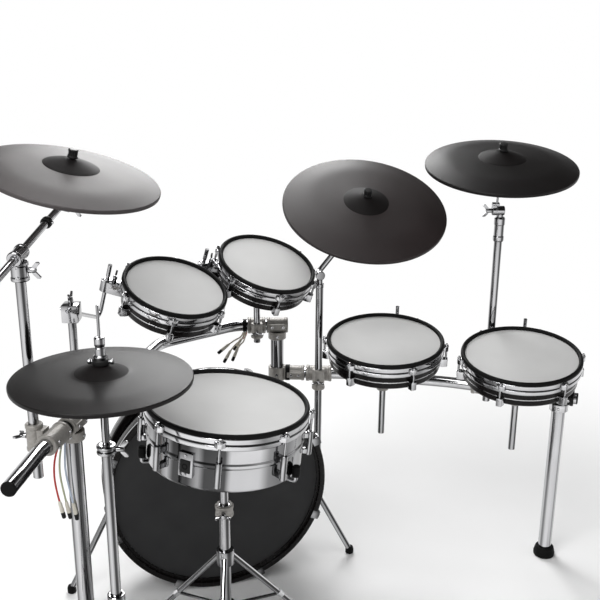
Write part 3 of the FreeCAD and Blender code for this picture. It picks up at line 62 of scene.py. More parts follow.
def new_material(name, colour, metallic, roughness, gloss=0.5):
    material = bpy.data.materials.new(name)
    material.use_nodes = True
    shader = material.node_tree.nodes["Principled BSDF"]
    shader.inputs["Base Color"].default_value = (*colour, 1)
    shader.inputs["Metallic"].default_value = metallic
    shader.inputs["Roughness"].default_value = roughness
    shader.inputs["Specular IOR Level"].default_value = gloss
    return material, shader


def add_node(owner, kind, **values):
    """A shader node of a material or a world, with its settings and its sockets' values."""
    node = owner.node_tree.nodes.new("ShaderNode" + kind)
    for key, value in values.items():
        if hasattr(node, key):
            setattr(node, key, value)
        else:
            node.inputs[key.replace("_", " ")].default_value = value
    return node


def link(owner, source, target):
    owner.node_tree.links.new(source, target)


def join(owner, source, out, target, into):
    """Link two nodes by their sockets' names."""
    link(owner, source.outputs[out], target.inputs[into])


def lay_out(owner, kind, node, into="Vector"):
    """Feed a node with a kind of texture coordinates."""
    join(owner, add_node(owner, "TexCoord"), kind, node, into)


def object_noise(material, scale, detail=3.0):
    noise = add_node(material, "TexNoise", Scale=scale, Detail=detail)
    lay_out(material, "Object", noise)
    return noise.outputs["Fac"]


def spread(material, source, low, high, target):
    """Send a texture's value to a socket, from one level to another."""
    span = add_node(material, "MapRange", To_Min=low, To_Max=high)
    link(material, source, span.inputs["Value"])
    link(material, span.outputs["Result"], target)


def ramp(material, source, stops):
    """Colours along a value, from stops of place and colour."""
    node = add_node(material, "ValToRGB")
    elements = node.color_ramp.elements
    while len(elements) < len(stops):
        elements.new(0.5)
    for element, (place, colour) in zip(elements, stops):
        element.position = place
        element.color = (*colour, 1)
    link(material, source, node.inputs["Fac"])
    return node.outputs["Color"]


def mottle(material, shader, source, dark, light):
    """Vary the base colour between two tones."""
    link(material, ramp(material, source, [(0.3, dark), (0.7, light)]), shader.inputs["Base Color"])


def grain(material, shader, source, strength, distance):
    bump = add_node(material, "Bump", Strength=strength, Distance=distance)
    link(material, source, bump.inputs["Height"])
    join(material, bump, "Normal", shader, "Normal")


def metal(name, colour, low, high, scale=60):
    material, shader = new_material(name, colour, 1.0, low)
    spread(material, object_noise(material, scale), low, high, shader.inputs["Roughness"])
    return material, shader


def greys(stops):
    return [(place, (level, level, level * 1.01)) for place, level in stops]


def chrome(name, around):
    """Plating whose base colour is banded by the way it faces: painted reflections of a studio of light and
    dark panels.
    """
    material, shader = metal(name, grey(0.6), 0.06, 0.13)
    way = add_node(material, "TexGradient", gradient_type="RADIAL")
    lay_out(material, "Normal", way)
    parts = add_node(material, "SeparateXYZ")
    lay_out(material, "Normal", parts)
    height = add_node(material, "MapRange", From_Min=-1.0, From_Max=1.0)
    join(material, parts, "Z", height, "Value")
    # Painted reflections: the bands by heading and by height, multiplied into the base colour
    painted_reflection = add_node(material, "Mix", data_type="RGBA", blend_type="MULTIPLY")
    painted_reflection.inputs["Factor"].default_value = 1.0
    link(material, ramp(material, way.outputs["Fac"], greys(around)), painted_reflection.inputs["A"])
    link(material, ramp(material, height.outputs["Result"], greys(PAINTED_REFLECTION_HEIGHTS)), painted_reflection.inputs["B"])
    join(material, painted_reflection, "Result", shader, "Base Color")
    return material


def casting(name, dark, light):
    material, shader = new_material(name, light, 0.25, 0.42)
    mottle(material, shader, object_noise(material, 220), dark, light)
    grain(material, shader, object_noise(material, 1600), 0.25, 0.0004)
    return material


def rubber(name, dark, light, roughness, gloss, scale=1300, strength=0.3):
    material, shader = new_material(name, light, 0.0, roughness, gloss)
    mottle(material, shader, object_noise(material, 9, 4), dark, light)
    grain(material, shader, object_noise(material, scale), strength, 0.0004)
    return material


def lacquer(name, colour, roughness):
    material, shader = new_material(name, colour, 0.0, roughness, 0.22)
    spread(material, object_noise(material, 90), roughness * 0.8, roughness * 1.3, shader.inputs["Roughness"])
    return material


THREAD_PITCH = 0.0011


def mesh_cloth(name, dark, light):
    """A tight woven drum head, of crossed threads."""
    material, shader = new_material(name, light, 0.0, 0.75, 0.2)
    weave = add_node(material, "Math", operation="MAXIMUM")
    for socket, direction in zip(weave.inputs, "XY"):
        wave = add_node(material, "TexWave", bands_direction=direction, Scale=0.314 / THREAD_PITCH)
        lay_out(material, "Object", wave)
        link(material, wave.outputs["Fac"], socket)
    grain(material, shader, weave.outputs["Value"], 0.15, 0.0002)
    mottle(material, shader, object_noise(material, 7), dark, light)
    return material


# The chromes' painted reflection stops, by the height that a surface faces, from down to up, and by its
# heading
PAINTED_REFLECTION_HEIGHTS = [(0.0, 0.2), (0.2, 0.28), (0.36, 0.8), (0.52, 0.95), (0.58, 0.35), (0.64, 0.3), (0.71, 0.9),
                (0.9, 1.0), (1.0, 0.8)]
CHROME = chrome("chrome", [
    (0.0, 0.4), (0.05, 0.42), (0.09, 0.08), (0.13, 0.12), (0.17, 0.5), (0.23, 0.72), (0.28, 0.5),
    (0.31, 0.1), (0.36, 0.07), (0.4, 0.35), (0.43, 0.7), (0.485, 0.62), (0.5, 0.25), (0.75, 0.6),
    (0.88, 0.3), (1.0, 0.4)])
SNARE_CHROME = chrome("snare_chrome", [
    (0.0, 0.25), (0.05, 0.1), (0.085, 0.65), (0.11, 0.06), (0.14, 0.5), (0.155, 0.08), (0.19, 0.07),
    (0.21, 0.4), (0.222, 0.08), (0.262, 0.1), (0.272, 0.7), (0.33, 0.8), (0.35, 0.35), (0.39, 0.22),
    (0.43, 0.45), (0.47, 0.1), (0.5, 0.3), (0.75, 0.5), (1.0, 0.25)])
HOOP_CHROME = chrome("hoop_chrome", [
    (0.0, 0.5), (0.06, 0.7), (0.1, 0.22), (0.13, 0.3), (0.17, 0.75), (0.24, 0.9), (0.3, 0.75),
    (0.33, 0.28), (0.37, 0.6), (0.45, 0.65), (0.49, 0.3), (0.75, 0.7), (0.88, 0.35), (1.0, 0.5)])
STEEL = metal("satin_steel", (0.66, 0.66, 0.67), 0.2, 0.32, 140)[0]
CAST = casting("cast_grey", (0.27, 0.257, 0.238), (0.34, 0.325, 0.305))
PAD = rubber("pad_rubber", (0.014, 0.01, 0.01), (0.019, 0.014, 0.014), 0.45, 0.32)
# Lit and shaded copies of the pad rubber: painted light on the left crash's pad, painted shade on the right
# crash's and the hi-hat's pads
PAD_PAINTED_LIGHT = rubber("pad_rubber_painted_light", (0.026, 0.021, 0.021), (0.042, 0.035, 0.035), 0.56, 0.52)
PAD_PAINTED_SHADE = rubber("pad_rubber_painted_shade", (0.006, 0.005, 0.005), (0.009, 0.008, 0.008), 0.42, 0.15)
# The bells' rubber is painted darker than the bows' rubber: painted shade
PAD_BELL_PAINTED_SHADE = rubber("pad_bell_painted_shade", (0.004, 0.003, 0.003), (0.006, 0.005, 0.005), 0.6, 0.12)
RUBBER = rubber("black_rubber", grey(0.003), grey(0.005), 0.6, 0.1)
PLASTIC = rubber("black_plastic", grey(0.006), grey(0.01), 0.4, 0.2, 700, 0.15)
CREAM = rubber("cream_plastic", (0.58, 0.55, 0.47), (0.7, 0.67, 0.59), 0.4, 0.3, 700, 0.12)
SHELL = lacquer("black_lacquer", (0.004, 0.003, 0.003), 0.25)
HEAD = mesh_cloth("mesh_head", (0.52, 0.52, 0.515), (0.56, 0.56, 0.555))
KICK_HEAD = mesh_cloth("kick_mesh", (0.03, 0.03, 0.031), (0.042, 0.042, 0.043))
FOAM = rubber("trigger_foam", grey(0.03), grey(0.05), 0.9, 0.2, 500, 0.5)


# Geometry
def turned(direction):
    """The rotation that carries Z onto a direction."""
    return UP.rotation_difference(Vector(direction).normalized()).to_matrix()


def axes(x, y, z):
    return Matrix((x, y, z)).transposed()


def put(place, rotation=None):
    return Matrix.Translation(Vector(place)) @ (rotation or Matrix.Identity(3)).to_4x4()


def move(x, y, z):
    return Matrix.Translation((x, y, z))


def tip(angle, axis):
    return Matrix.Rotation(math.radians(angle), 4, axis)


def spin_about(at, angle):
    return at @ tip(angle, "Z")


def circle(segments):
    angles = [2 * math.pi * k / segments for k in range(segments)]
    return [(math.cos(angle), math.sin(angle)) for angle in angles]


def soften(outline, radius, steps=3):
    """Round the corners of a closed outline, each no further than its sides allow."""
    result = []
    for i, corner in enumerate(outline):
        here = Vector(corner)
        back = Vector(outline[i - 1]) - here
        ahead = Vector(outline[(i + 1) % len(outline)]) - here
        reach = min(radius, back.length * 0.45, ahead.length * 0.45)
        if here.x < 1e-6 or reach < 1e-4:
            result.append(tuple(here))
            continue
        start = here + back.normalized() * reach
        end = here + ahead.normalized() * reach
        for k in range(steps + 1):
            t = k / steps
            result.append(tuple(start * (1 - t) ** 2 + here * 2 * t * (1 - t) + end * t ** 2))
    return result


class Piece:
    """One Blender object, gathered from several shapes."""

    def __init__(self, name):
        self.name = name
        self.mesh = bmesh.new()
        self.materials = []

    def add(self, vertices, faces, material, at):
        if material not in self.materials:
            self.materials.append(material)
        index = self.materials.index(material)
        made = [self.mesh.verts.new(at @ Vector(v)) for v in vertices]
        shapes = [self.mesh.faces.new([made[i] for i in face]) for face in faces]
        for shape in shapes:
            shape.material_index = index
        bmesh.ops.recalc_face_normals(self.mesh, faces=shapes)

    def lathe(self, outline, material, at, segments):
        """Turn a closed outline of (radius, height) about Z."""
        vertices, rings, faces = [], [], []
        for radius, height in outline:
            if radius < 1e-6:
                rings.append([len(vertices)] * segments)
                vertices.append((0, 0, height))
                continue
            rings.append(list(range(len(vertices), len(vertices) + segments)))
            vertices += [(radius * x, radius * y, height) for x, y in circle(segments)]
        for i, ring in enumerate(rings):
            following = rings[(i + 1) % len(rings)]
            if ring[0] == ring[1] and following[0] == following[1]:
                continue
            for k in range(segments):
                corners = [ring[k], ring[(k + 1) % segments], following[(k + 1) % segments], following[k]]
                faces.append(list(dict.fromkeys(corners)))
        self.add(vertices, faces, material, at)

    def turn(self, outline, edge, material, at, segments=40):
        """A lathe piece with its corners rounded."""
        self.lathe(soften(outline, edge), material, at, segments)

    def disc(self, radius, low, high, material, at, edge, segments=32):
        self.turn([(0, low), (radius, low), (radius, high), (0, high)], edge, material, at, segments)

    def ring(self, inner, outer, low, high, material, at, edge, segments=48):
        self.turn([(inner, low), (outer, low), (outer, high), (inner, high)], edge, material, at, segments)

    def prism(self, outline, low, high, material, at, edge):
        """A flat outline in XY, raised and with its edges rounded."""
        temp = bmesh.new()
        count = len(outline)
        lower = [temp.verts.new((x, y, low)) for x, y in outline]
        upper = [temp.verts.new((x, y, high)) for x, y in outline]
        temp.faces.new(lower[::-1])
        temp.faces.new(upper)
        for i in range(count):
            k = (i + 1) % count
            temp.faces.new((lower[i], lower[k], upper[k], upper[i]))
        bmesh.ops.bevel(temp, geom=temp.edges[:], offset=edge, segments=2, profile=0.6, affect="EDGES",
                        clamp_overlap=True)
        temp.verts.index_update()
        self.add([v.co for v in temp.verts], [[v.index for v in f.verts] for f in temp.faces], material, at)
        temp.free()

    def block(self, low, high, material, at, edge):
        """A box between two corners."""
        (x, y, z), (far_x, far_y, far_z) = low, high
        self.prism([(x, y), (far_x, y), (far_x, far_y), (x, far_y)], z, far_z, material, at, edge)

    def tube(self, points, radius, material, at=None, segments=24):
        """A round bar through points."""
        points = [Vector(p) for p in points]
        side = None
        vertices, faces = [], []
        for i, p in enumerate(points):
            line = (points[min(i + 1, len(points) - 1)] - points[max(i - 1, 0)]).normalized()
            if side is None:
                side = line.orthogonal()
            side = (side - line * side.dot(line)).normalized()
            other = line.cross(side)
            vertices += [p + (side * x + other * y) * radius for x, y in circle(segments)]
        for i in range(len(points) - 1):
            for k in range(segments):
                a = i * segments + k
                b = i * segments + (k + 1) % segments
                faces.append((a, b, b + segments, a + segments))
        faces.append(list(range(segments))[::-1])
        faces.append(list(range(len(vertices) - segments, len(vertices))))
        self.add(vertices, faces, material, at or Matrix())

    def wing_bolt(self, at):
        """A wing bolt that stands on the place's XY plane, with its wings along X."""
        self.turn([(0, 0), (6, 0), (6, 9), (4.6, 16), (0, 16)], 1.0, CHROME, at, 24)
        wing = [(3, 7), (9, 9), (17.5, 17), (18, 23), (14.5, 25.5), (9, 20), (3, 15.5)]
        for side in (-1, 1):
            outline = [(side * x, y) for x, y in wing]
            self.prism(outline[::side], -2.3, 2.3, CHROME, at @ tip(90, "X"), 0.9)

    def bolt_head(self, at, radius):
        """A socket screw's head with its recess."""
        recess = radius * 0.55
        outline = [(0, 0), (radius, 0), (radius, 3.2), (recess, 3.2), (recess, 1.2), (0, 1.2)]
        self.turn(outline, 0.5, STEEL, at, 20)

    def finish(self, body, *replaced):
        """Make the object, on its body and in place of CAD nodes."""
        data = bpy.data.meshes.new(self.name)
        for vertex in self.mesh.verts:
            vertex.co = in_frame(vertex.co)
        self.mesh.to_mesh(data)
        self.mesh.free()
        for material in self.materials:
            data.materials.append(material)
        data.shade_smooth()
        data.set_sharp_from_angle(angle=SHARP_ANGLE)
        piece = show(self.name, data)
        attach(piece, body)
        if replaced:
            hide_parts(*replaced)
        return piece


def arc_path(points, bend, steps=10):
    """Straight runs joined by arcs of one radius."""
    points = [Vector(p) for p in points]
    path = [points[0]]
    for before, here, after in zip(points, points[1:], points[2:]):
        back = (before - here).normalized()
        ahead = (after - here).normalized()
        turn = math.pi - back.angle(ahead)
        reach = bend * math.tan(turn / 2)
        centre = here + (back + ahead).normalized() * (bend / math.cos(turn / 2))
        start = here + back * reach - centre
        end = here + ahead * reach - centre
        for k in range(steps + 1):
            t = k / steps
            mixed = start * math.sin((1 - t) * turn) + end * math.sin(t * turn)
            path.append(centre + mixed / math.sin(turn))
    path.append(points[-1])
    return path


# Camera, floor and light
def set_camera():
    data = bpy.data.cameras.new("camera")
    data.sensor_fit = "HORIZONTAL"
    data.sensor_width = 36
    data.lens = 55.2
    data.shift_y = 0.0417
    camera = show("camera", data)
    turn = axes((0.99997, 0.00224, 0.00671), (-0.00708, 0.31671, 0.94846), (0, -0.94851, 0.31673))
    camera.matrix_world = move(-0.0345, -2.0807, 1.51) @ turn.to_4x4()
    bpy.context.scene.camera = camera


def add_light(name, place, aim, size, power):
    data = bpy.data.lights.new(name, "AREA")
    data.shape = "RECTANGLE"
    data.size, data.size_y = size
    data.energy = power
    light = show(name, data)
    light.location = place
    light.rotation_euler = (Vector(aim) - Vector(place)).to_track_quat("-Z", "Y").to_euler()


FLOOR = 6.0


def set_stage():
    """A pale floor that keeps its shadow, a pale surround and five soft boxes."""
    floor = bpy.data.meshes.new("floor")
    corners = [(FLOOR * x, FLOOR * y, 0) for x, y in ((-1, -1), (1, -1), (1, 1), (-1, 1))]
    floor.from_pydata(corners, [], [(0, 1, 2, 3)])
    material, shader = new_material("studio_floor", grey(0.95), 0.0, 0.8)
    mottle(material, shader, object_noise(material, 3, 2), grey(0.93), grey(0.96))
    distance = add_node(material, "VectorMath", operation="LENGTH")
    lay_out(material, "Object", distance, 0)
    fade = add_node(material, "MapRange", interpolation_type="SMOOTHSTEP", From_Min=0.9, From_Max=2.2)
    join(material, distance, "Value", fade, "Value")
    white = add_node(material, "Emission", Color=(1, 1, 1, 1), Strength=1.0)
    blend = add_node(material, "MixShader")
    join(material, fade, "Result", blend, "Fac")
    join(material, shader, "BSDF", blend, 1)
    join(material, white, "Emission", blend, 2)
    join(material, blend, "Shader", material.node_tree.nodes["Material Output"], "Surface")
    floor.materials.append(material)
    show("floor", floor)

    # A surround that is white round the horizon and dim overhead
    world = bpy.data.worlds.new("studio")
    bpy.context.scene.world = world
    world.use_nodes = True
    surround = world.node_tree.nodes["Background"]
    surround.inputs["Color"].default_value = (1, 1, 1, 1)
    parts = add_node(world, "SeparateXYZ")
    level = add_node(world, "MapRange", interpolation_type="SMOOTHSTEP", From_Min=0.1, From_Max=0.38,
                     To_Min=1.0, To_Max=0.08)
    lay_out(world, "Generated", parts)
    join(world, parts, "Z", level, "Value")
    join(world, level, "Result", surround, "Strength")

    add_light("back", (-0.4, 2.5, 2.35), (-0.3, 0, 0.9), (1.5, 1.3), 64)
    add_light("over", (-0.4, 1.4, 3.3), (0, 0.2, 0.9), (1.0, 0.8), 18)
    add_light("top", (-0.4, -0.8, 3.3), (-0.1, 0, 0.5), (2.2, 1.6), 30)
    add_light("front", (-1.3, -2.2, 2.75), (-0.1, 0, 0.6), (1.8, 1.4), 60)
    add_light("side", (2.6, -0.6, 2.2), (0, 0, 0.6), (1.2, 1.2), 4)
    bpy.context.scene.view_settings.view_transform = "Standard"


set_camera()
set_stage()


# Radii of the bars
PIPE, UPRIGHT, POLE, POST, BOOM, ROD = 16, 19, 11, 9.5, 8, 5.25

# The rack's plan: the ends and bends of its pipes, and the pipes' heights
WING_END, WING_BEND, LEFT_BEND, FAR_BEND = (-582, -540), (-567, -385), (-416, 292), (-220, 448)
CENTRE, CENTRE_BEND, RIGHT_BEND, RIGHT = (-97, 457), (130, 446), (400, 388), (700, 285)
UPPER, LOWER = 656, 508


def heading(start, end):
    return Vector((*end, 0)) - Vector((*start, 0))


def run_spot(start, end, axis, value, height):
    """The point of a run at one coordinate, and the rotation that lays X along the run."""
    run = heading(start, end)
    point = Vector((*start, height)) + run * ((value - start[axis]) / run[axis])
    return point, Matrix.Rotation(math.atan2(run.y, run.x), 3, "Z")


# Cables
JACKETS = {}
for jacket, dark, light in (
        ("beige", (0.55, 0.5, 0.42), (0.66, 0.61, 0.52)), ("pink", (0.55, 0.22, 0.2), (0.65, 0.28, 0.26)),
        ("red", (0.42, 0.03, 0.03), (0.52, 0.05, 0.04)),
        ("pale_green", (0.36, 0.4, 0.26), (0.45, 0.48, 0.33)),
        ("pale_blue", (0.4, 0.46, 0.56), (0.5, 0.56, 0.66)),
        ("black", grey(0.012), grey(0.02))):
    JACKETS[jacket] = rubber("jacket_" + jacket, dark, light, 0.45, 0.3, 900, 0.1)

# Each tail's name, jacket and route
TAILS = (
    ("centre_tail_1", "beige", [(-196, 447, 636.2), (-199, 445, 623), (-226, 438, 612), (-250, 434, 592)]),
    ("centre_tail_2", "beige", [(-192, 452, 636.2), (-196, 450, 614), (-226, 447, 594), (-242, 447, 564)]),
    ("centre_tail_3", "beige", [(-189, 447, 636.2), (-191, 445, 610), (-209, 443, 596), (-219, 443, 572)]),
    ("centre_tail_4", "pink", [(-186, 453, 636.2), (-188, 455, 620), (-202, 457, 612), (-211, 458, 598)]),
    ("left_tail_1", "red",
     [(-549, -276, 636.2), (-562, -281, 606), (-571, -280, 560), (-569, -279, 510), (-561, -278, 466)]),
    ("left_tail_2", "pale_green",
     [(-546, -272.5, 636.2), (-555, -274, 602), (-561, -271, 554), (-556, -270, 504), (-549, -269, 460)]),
    ("left_tail_3", "pale_blue",
     [(-543, -269, 636.2), (-546, -268, 598), (-550, -264, 552), (-543, -262, 498), (-536, -261, 452)]),
    ("hihat_tail", "black", [(-414, -447, 791.2), (-411, -452, 768), (-413, -450, 735), (-416, -432, 694)]),
)


def run_length(curve):
    """The length of a curve with no thickness yet, from its evaluated points."""
    drawn = show("measured", curve)
    line = drawn.evaluated_get(bpy.context.evaluated_depsgraph_get()).to_mesh()
    ends = [[line.vertices[i].co for i in edge.vertices] for edge in line.edges]
    total = sum((a - b).length for a, b in ends)
    bpy.data.objects.remove(drawn)
    return total


def add_tails():
    for name, jacket, route in TAILS:
        radius = 1.6 if name == "hihat_tail" else 2.2
        curve = bpy.data.curves.new(name, "CURVE")
        curve.dimensions = "3D"
        curve.resolution_u = 24
        curve.bevel_resolution = 5
        curve.use_fill_caps = True
        spline = curve.splines.new("NURBS")
        spline.points.add(len(route) - 1)
        for spot, place in zip(spline.points, route):
            spot.co = (*in_frame(place), 1)
        spline.order_u = 3
        spline.use_endpoint_u = True
        length = run_length(curve)
        curve.bevel_depth = radius * MILLIMETRE
        curve.materials.append(JACKETS[jacket])
        cable = show(name, curve)
        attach(cable, "kit")
        if name == TAILS[0][0]:
            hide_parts("cable_tails")
        if name == "hihat_tail":
            continue
        plug = Piece(name + "_plug")
        at = put(route[-1], turned(Vector(route[-1]) - Vector(route[-2])))
        sleeve = [(0, -18), (2.9, -18), (4.2, -12), (4.4, 0), (4.9, 2), (4.9, 10), (4.4, 11), (0, 11)]
        plug.turn(sleeve, 0.8, CREAM, at, 24)
        plug.turn([(0, 10.4), (4.2, 10.4), (4.6, 12), (4.6, 24), (3.8, 26), (0, 26)], 0.6, PLASTIC, at, 24)
        for step in range(4):
            plug.ring(4, 4.9, 12.6 + step * 3, 14 + step * 3, PLASTIC, at, 0.3, 24)
        plug.finish("kit")
    straps = Piece("cable_straps")
    for start, end, axis, value in ((FAR_BEND, CENTRE, 0, -191), (LEFT_BEND, WING_BEND, 1, -272.5)):
        spot = run_spot(start, end, axis, value, UPPER)[0]
        straps.ring(PIPE + 0.3, PIPE + 2.5, -6, 6, RUBBER, put(spot, turned(heading(start, end))), 0.6)
    straps.finish("kit")


add_tails()


# Drums: name, shell radius, depth, head centre, normal, first lug, lug count, bracket angle
SNARE = ("snare", 178, 130, (-192, -192, 687), (0.082, -0.005, 0.997), -90, 8, None)
DRUMS = (
    ("high_tom", 127, 66, (-347, 142, 860), (0.275, -0.244, 0.93), -82, 6, 180),
    ("mid_tom", 127, 66, (-121, 333, 872), (0.277, -0.283, 0.918), -69, 6, 190),
    ("low_tom", 152, 66, (203, 269, 676), (-0.006, -0.138, 0.99), -8, 6, 75),
    ("floor_tom", 152, 66, (565, 218, 653), (-0.029, -0.154, 0.988), 0, 6, 75),
    SNARE,
)


# Sections and outlines of a drum's parts, measured out from its shell's radius
HEAD_EDGE = [(-2, -0.6), (3, -2.2), (3, -0.9), (-3, 0.4)]
BAND = [(3.6, -1), (7.9, -1), (8.8, -2), (8.8, -12.6), (6.6, -13.4), (6.6, -16.8), (8.8, -17.6), (8.8, -26),
        (7.8, -28), (5, -28), (4.4, -14)]
RIM = [(-3.4, 0.4), (-3, 3.2), (-0.8, 7.2), (2.4, 8.9), (5.6, 8.4), (8.2, 5.4), (8.8, 1.8), (8.6, -1.4),
       (4, -1.4)]
EAR = [(7.3, -13), (12.8, -11), (19.4, -4.5), (19.4, 4.5), (12.8, 11), (7.3, 13)]
CASING = [(-1.5, -10), (8, -10), (19.8, -7), (19.8, 7), (8, 10), (-1.5, 10)]
BRACKET = [(-1.5, -15), (47.8, -15), (56.8, -9), (56.8, 9), (47.8, 15), (-1.5, 15)]
BEAD = [(0, -62), (2.2, -66), (2.2, -72), (0, -76)]
HOOP, TENSION_ROD, BRACKET_HOLE = 8.8, 14.3, 42.8


def add_drum(name, radius, depth, centre, normal, first_lug, lugs, bracket):
    at = put(centre, turned(normal))
    snare = name == "snare"
    body = "snare_top" if snare else name + "_drum"
    low = -depth
    outer = radius + HOOP
    rod_at = radius + TENSION_ROD
    lug_places = [spin_about(at, first_lug + 360 * k / lugs) for k in range(lugs)]

    def grown(points):
        return [(radius + out, place) for out, place in points]

    head = Piece(name + "_head_cloth")
    head.lathe([(0, -0.6), *grown(HEAD_EDGE), (0, 0.4)], HEAD, at, 128)
    head.finish(body, name + "_head")

    hoop = Piece(name + "_hoop_band")
    hoop.turn(grown(BAND), 0.7, HOOP_CHROME, at, 128)
    hoop.ring(outer - 3, outer - 1.6, -16.6, -13.6, PLASTIC, at, 0.3, 128)
    hoop.turn(grown(RIM), 1.2, RUBBER, at, 128)
    for ear in lug_places:
        hoop.prism(grown(EAR), -18.6, -5.4, HOOP_CHROME, ear, 1.2)
        screw = ear @ move(rod_at, 0, 0)
        hoop.ring(2.6, 6.2, -5.4, -4.2, STEEL, screw, 0.4, 24)
        hoop.disc(4.9, -4.2, -0.4, CHROME, screw, 0.7, 24)
        hoop.block((-2.6, -2.6, -0.6), (2.6, 2.6, 3.0), CHROME, screw, 0.5)
        hoop.disc(3, -52 if snare else low + 24, -18, CHROME, screw, 0.4, 20)
    hoop.finish(body, name + "_hoop")

    shell = Piece(name + "_shell_body")
    side = grown(BEAD) if snare else [(radius, -26)]
    wall = [(radius - 6, -6), (radius, -6), *side, (radius, low + 6), (radius - 1.2, low + 2),
            (radius - 4, low), (0, low), (0, low + 4), (radius - 6, low + 4)]
    shell.turn(wall, 1.0, SNARE_CHROME if snare else SHELL, at, 128)
    if not snare:
        shell.ring(radius - 1, radius + 0.4, -48, -45.6, HOOP_CHROME, at, 0.3, 128)
    for lug in lug_places:
        if snare:
            tube = lug @ move(rod_at, 0, 0)
            shell.ring(3.2, 7.2, -110, -52, CHROME, tube, 1.4, 28)
            for level in (-62, -101):
                near = (radius - outer - 6, -6.5, level - 6.5)
                shell.block(near, (-3.4, 6.5, level + 6.5), CHROME, tube, 1.6)
        else:
            shell.prism(grown(CASING), low + 1, low + 24, HOOP_CHROME, lug, 2.0)
            shell.ring(3.1, 5, low + 23.6, low + 25.4, CHROME, lug @ move(rod_at, 0, 0), 0.5, 20)
    if bracket is not None:
        arm = spin_about(at, bracket)
        shell.prism(grown(BRACKET), -62, -30, CHROME, arm, 2.2)
        for level in (-31, -63.4):
            shell.ring(5.4, 9, level, level + 2.4, STEEL, arm @ move(radius + BRACKET_HOLE, 0, 0), 0.6, 28)
        shell.wing_bolt(spin_about(arm @ move(outer + 16, 0, -30), 90))
        for level in (-38, -54):
            shell.bolt_head(arm @ move(radius + 14, -15, level) @ tip(90, "X"), 3.6)
    if snare:
        jack = spin_about(at, -112.5)
        shell.block((radius - 1.2, -17, -102), (radius + 7, 17, -46), CHROME, jack, 2.4)
        shell.block((radius + 6, -12, -92), (radius + 9.4, 12, -62), PLASTIC, jack, 1.6)
        socket = jack @ move(radius + 9, 0, -77) @ tip(90, "Y")
        shell.ring(4.2, 7, -0.5, 0.8, RUBBER, socket, 0.4, 32)
        for level in (-97, -52):
            shell.bolt_head(jack @ move(radius + 6.8, 0, level) @ tip(90, "Y"), 3)
    shell.finish(body, name + "_shell")


for drum in DRUMS:
    add_drum(*drum)

# Tom arms: name, hole in the drum's bracket, the rod's line, the knuckle on the post, the rod's leg,
# the post's bottom
ARMS = (
    ("high_tom", (-510.15, 136.1, 906.69), (0.00235, -0.93678, 0.34991), (-550.7, -105.2, 871), 150, 620),
    ("mid_tom", (-282.73, 297.91, 909.98), (0.87974, 0.42939, -0.20417), (-153.72, 407.73, 770), 112, 620),
    ("low_tom", (253.34, 455.34, 702.28), (-0.43229, -0.89941, -0.06469), (211.55, 382.46, 585), 112, 348),
    ("floor_tom", (614.97, 403.81, 683.43), (-0.28909, -0.95056, -0.11346), (575.39, 280.21, 556), 112, 348),
)
NORMALS = {drum[0]: Vector(drum[4]).normalized() for drum in DRUMS}


def add_arm(name, hole, line, knuckle, leg, bottom):
    normal = NORMALS[name]
    hole, line, knuckle = Vector(hole), Vector(line), Vector(knuckle)
    rod = Piece(name + "_arm_rod")
    rod.tube(arc_path([hole + normal * 14, hole - normal * leg, knuckle + line * 35], 16), ROD, CHROME)
    rod.finish(name + "_rod", name + "_arm")

    post = Piece(name + "_post_tube")
    post.disc(POST, bottom, knuckle.z - 16, CHROME, put((*knuckle.xy, 0)), 1, 40)
    at = spin_about(put(knuckle), math.degrees(math.atan2(line.y, line.x)))
    post.block((-21, -19, -21), (21, 19, 21), CHROME, at, 3.5)
    post.ring(POST + 0.1, 14, -21.7, -20.5, CHROME, at, 0.4, 36)
    side = -1 if name == "mid_tom" else 1
    if name == "high_tom":
        post.wing_bolt(at @ move(0, 0, 21))
    else:
        post.wing_bolt(at @ move(0, side * 19, 0) @ tip(-90 * side, "X"))
    for along in (-12, 12):
        post.bolt_head(at @ move(along, -19 * side, 12) @ tip(90 * side, "X"), 3.6)
    post.finish(name + "_mast", name + "_post")


for arm in ARMS:
    add_arm(*arm)


# Rack
def beyond(start, end, height, distance):
    return Vector((*end, height)) + heading(start, end).normalized() * distance


def side_bolts(piece, at, places, radius=4.2):
    """Socket screws on the +Y or -Y faces of a casting: x, y, z and the side they face."""
    for x, y, z, side in places:
        piece.bolt_head(at @ move(x, y, z) @ tip(-90 * side, "X"), radius)


def add_sleeve(piece, inner, outer, low, high, material, at, segments=40):
    """A cast sleeve with a raised bead at each end."""
    waist = outer - 1.4
    outline = [(inner, low), (outer - 1.6, low), (outer, low + 2), (outer, low + 8), (waist, low + 10),
               (waist, high - 10), (outer, high - 8), (outer, high - 2), (outer - 1.6, high), (inner, high)]
    piece.turn(outline, 1.0, material, at, segments)


# Rack clamps: bore, length along the pipe, height; and how far the bore's axis is from the pipe's
POLE_CLAMP, POST_CLAMP = (POLE, 76, 62), (POST, 52, 44)
REACH = 45


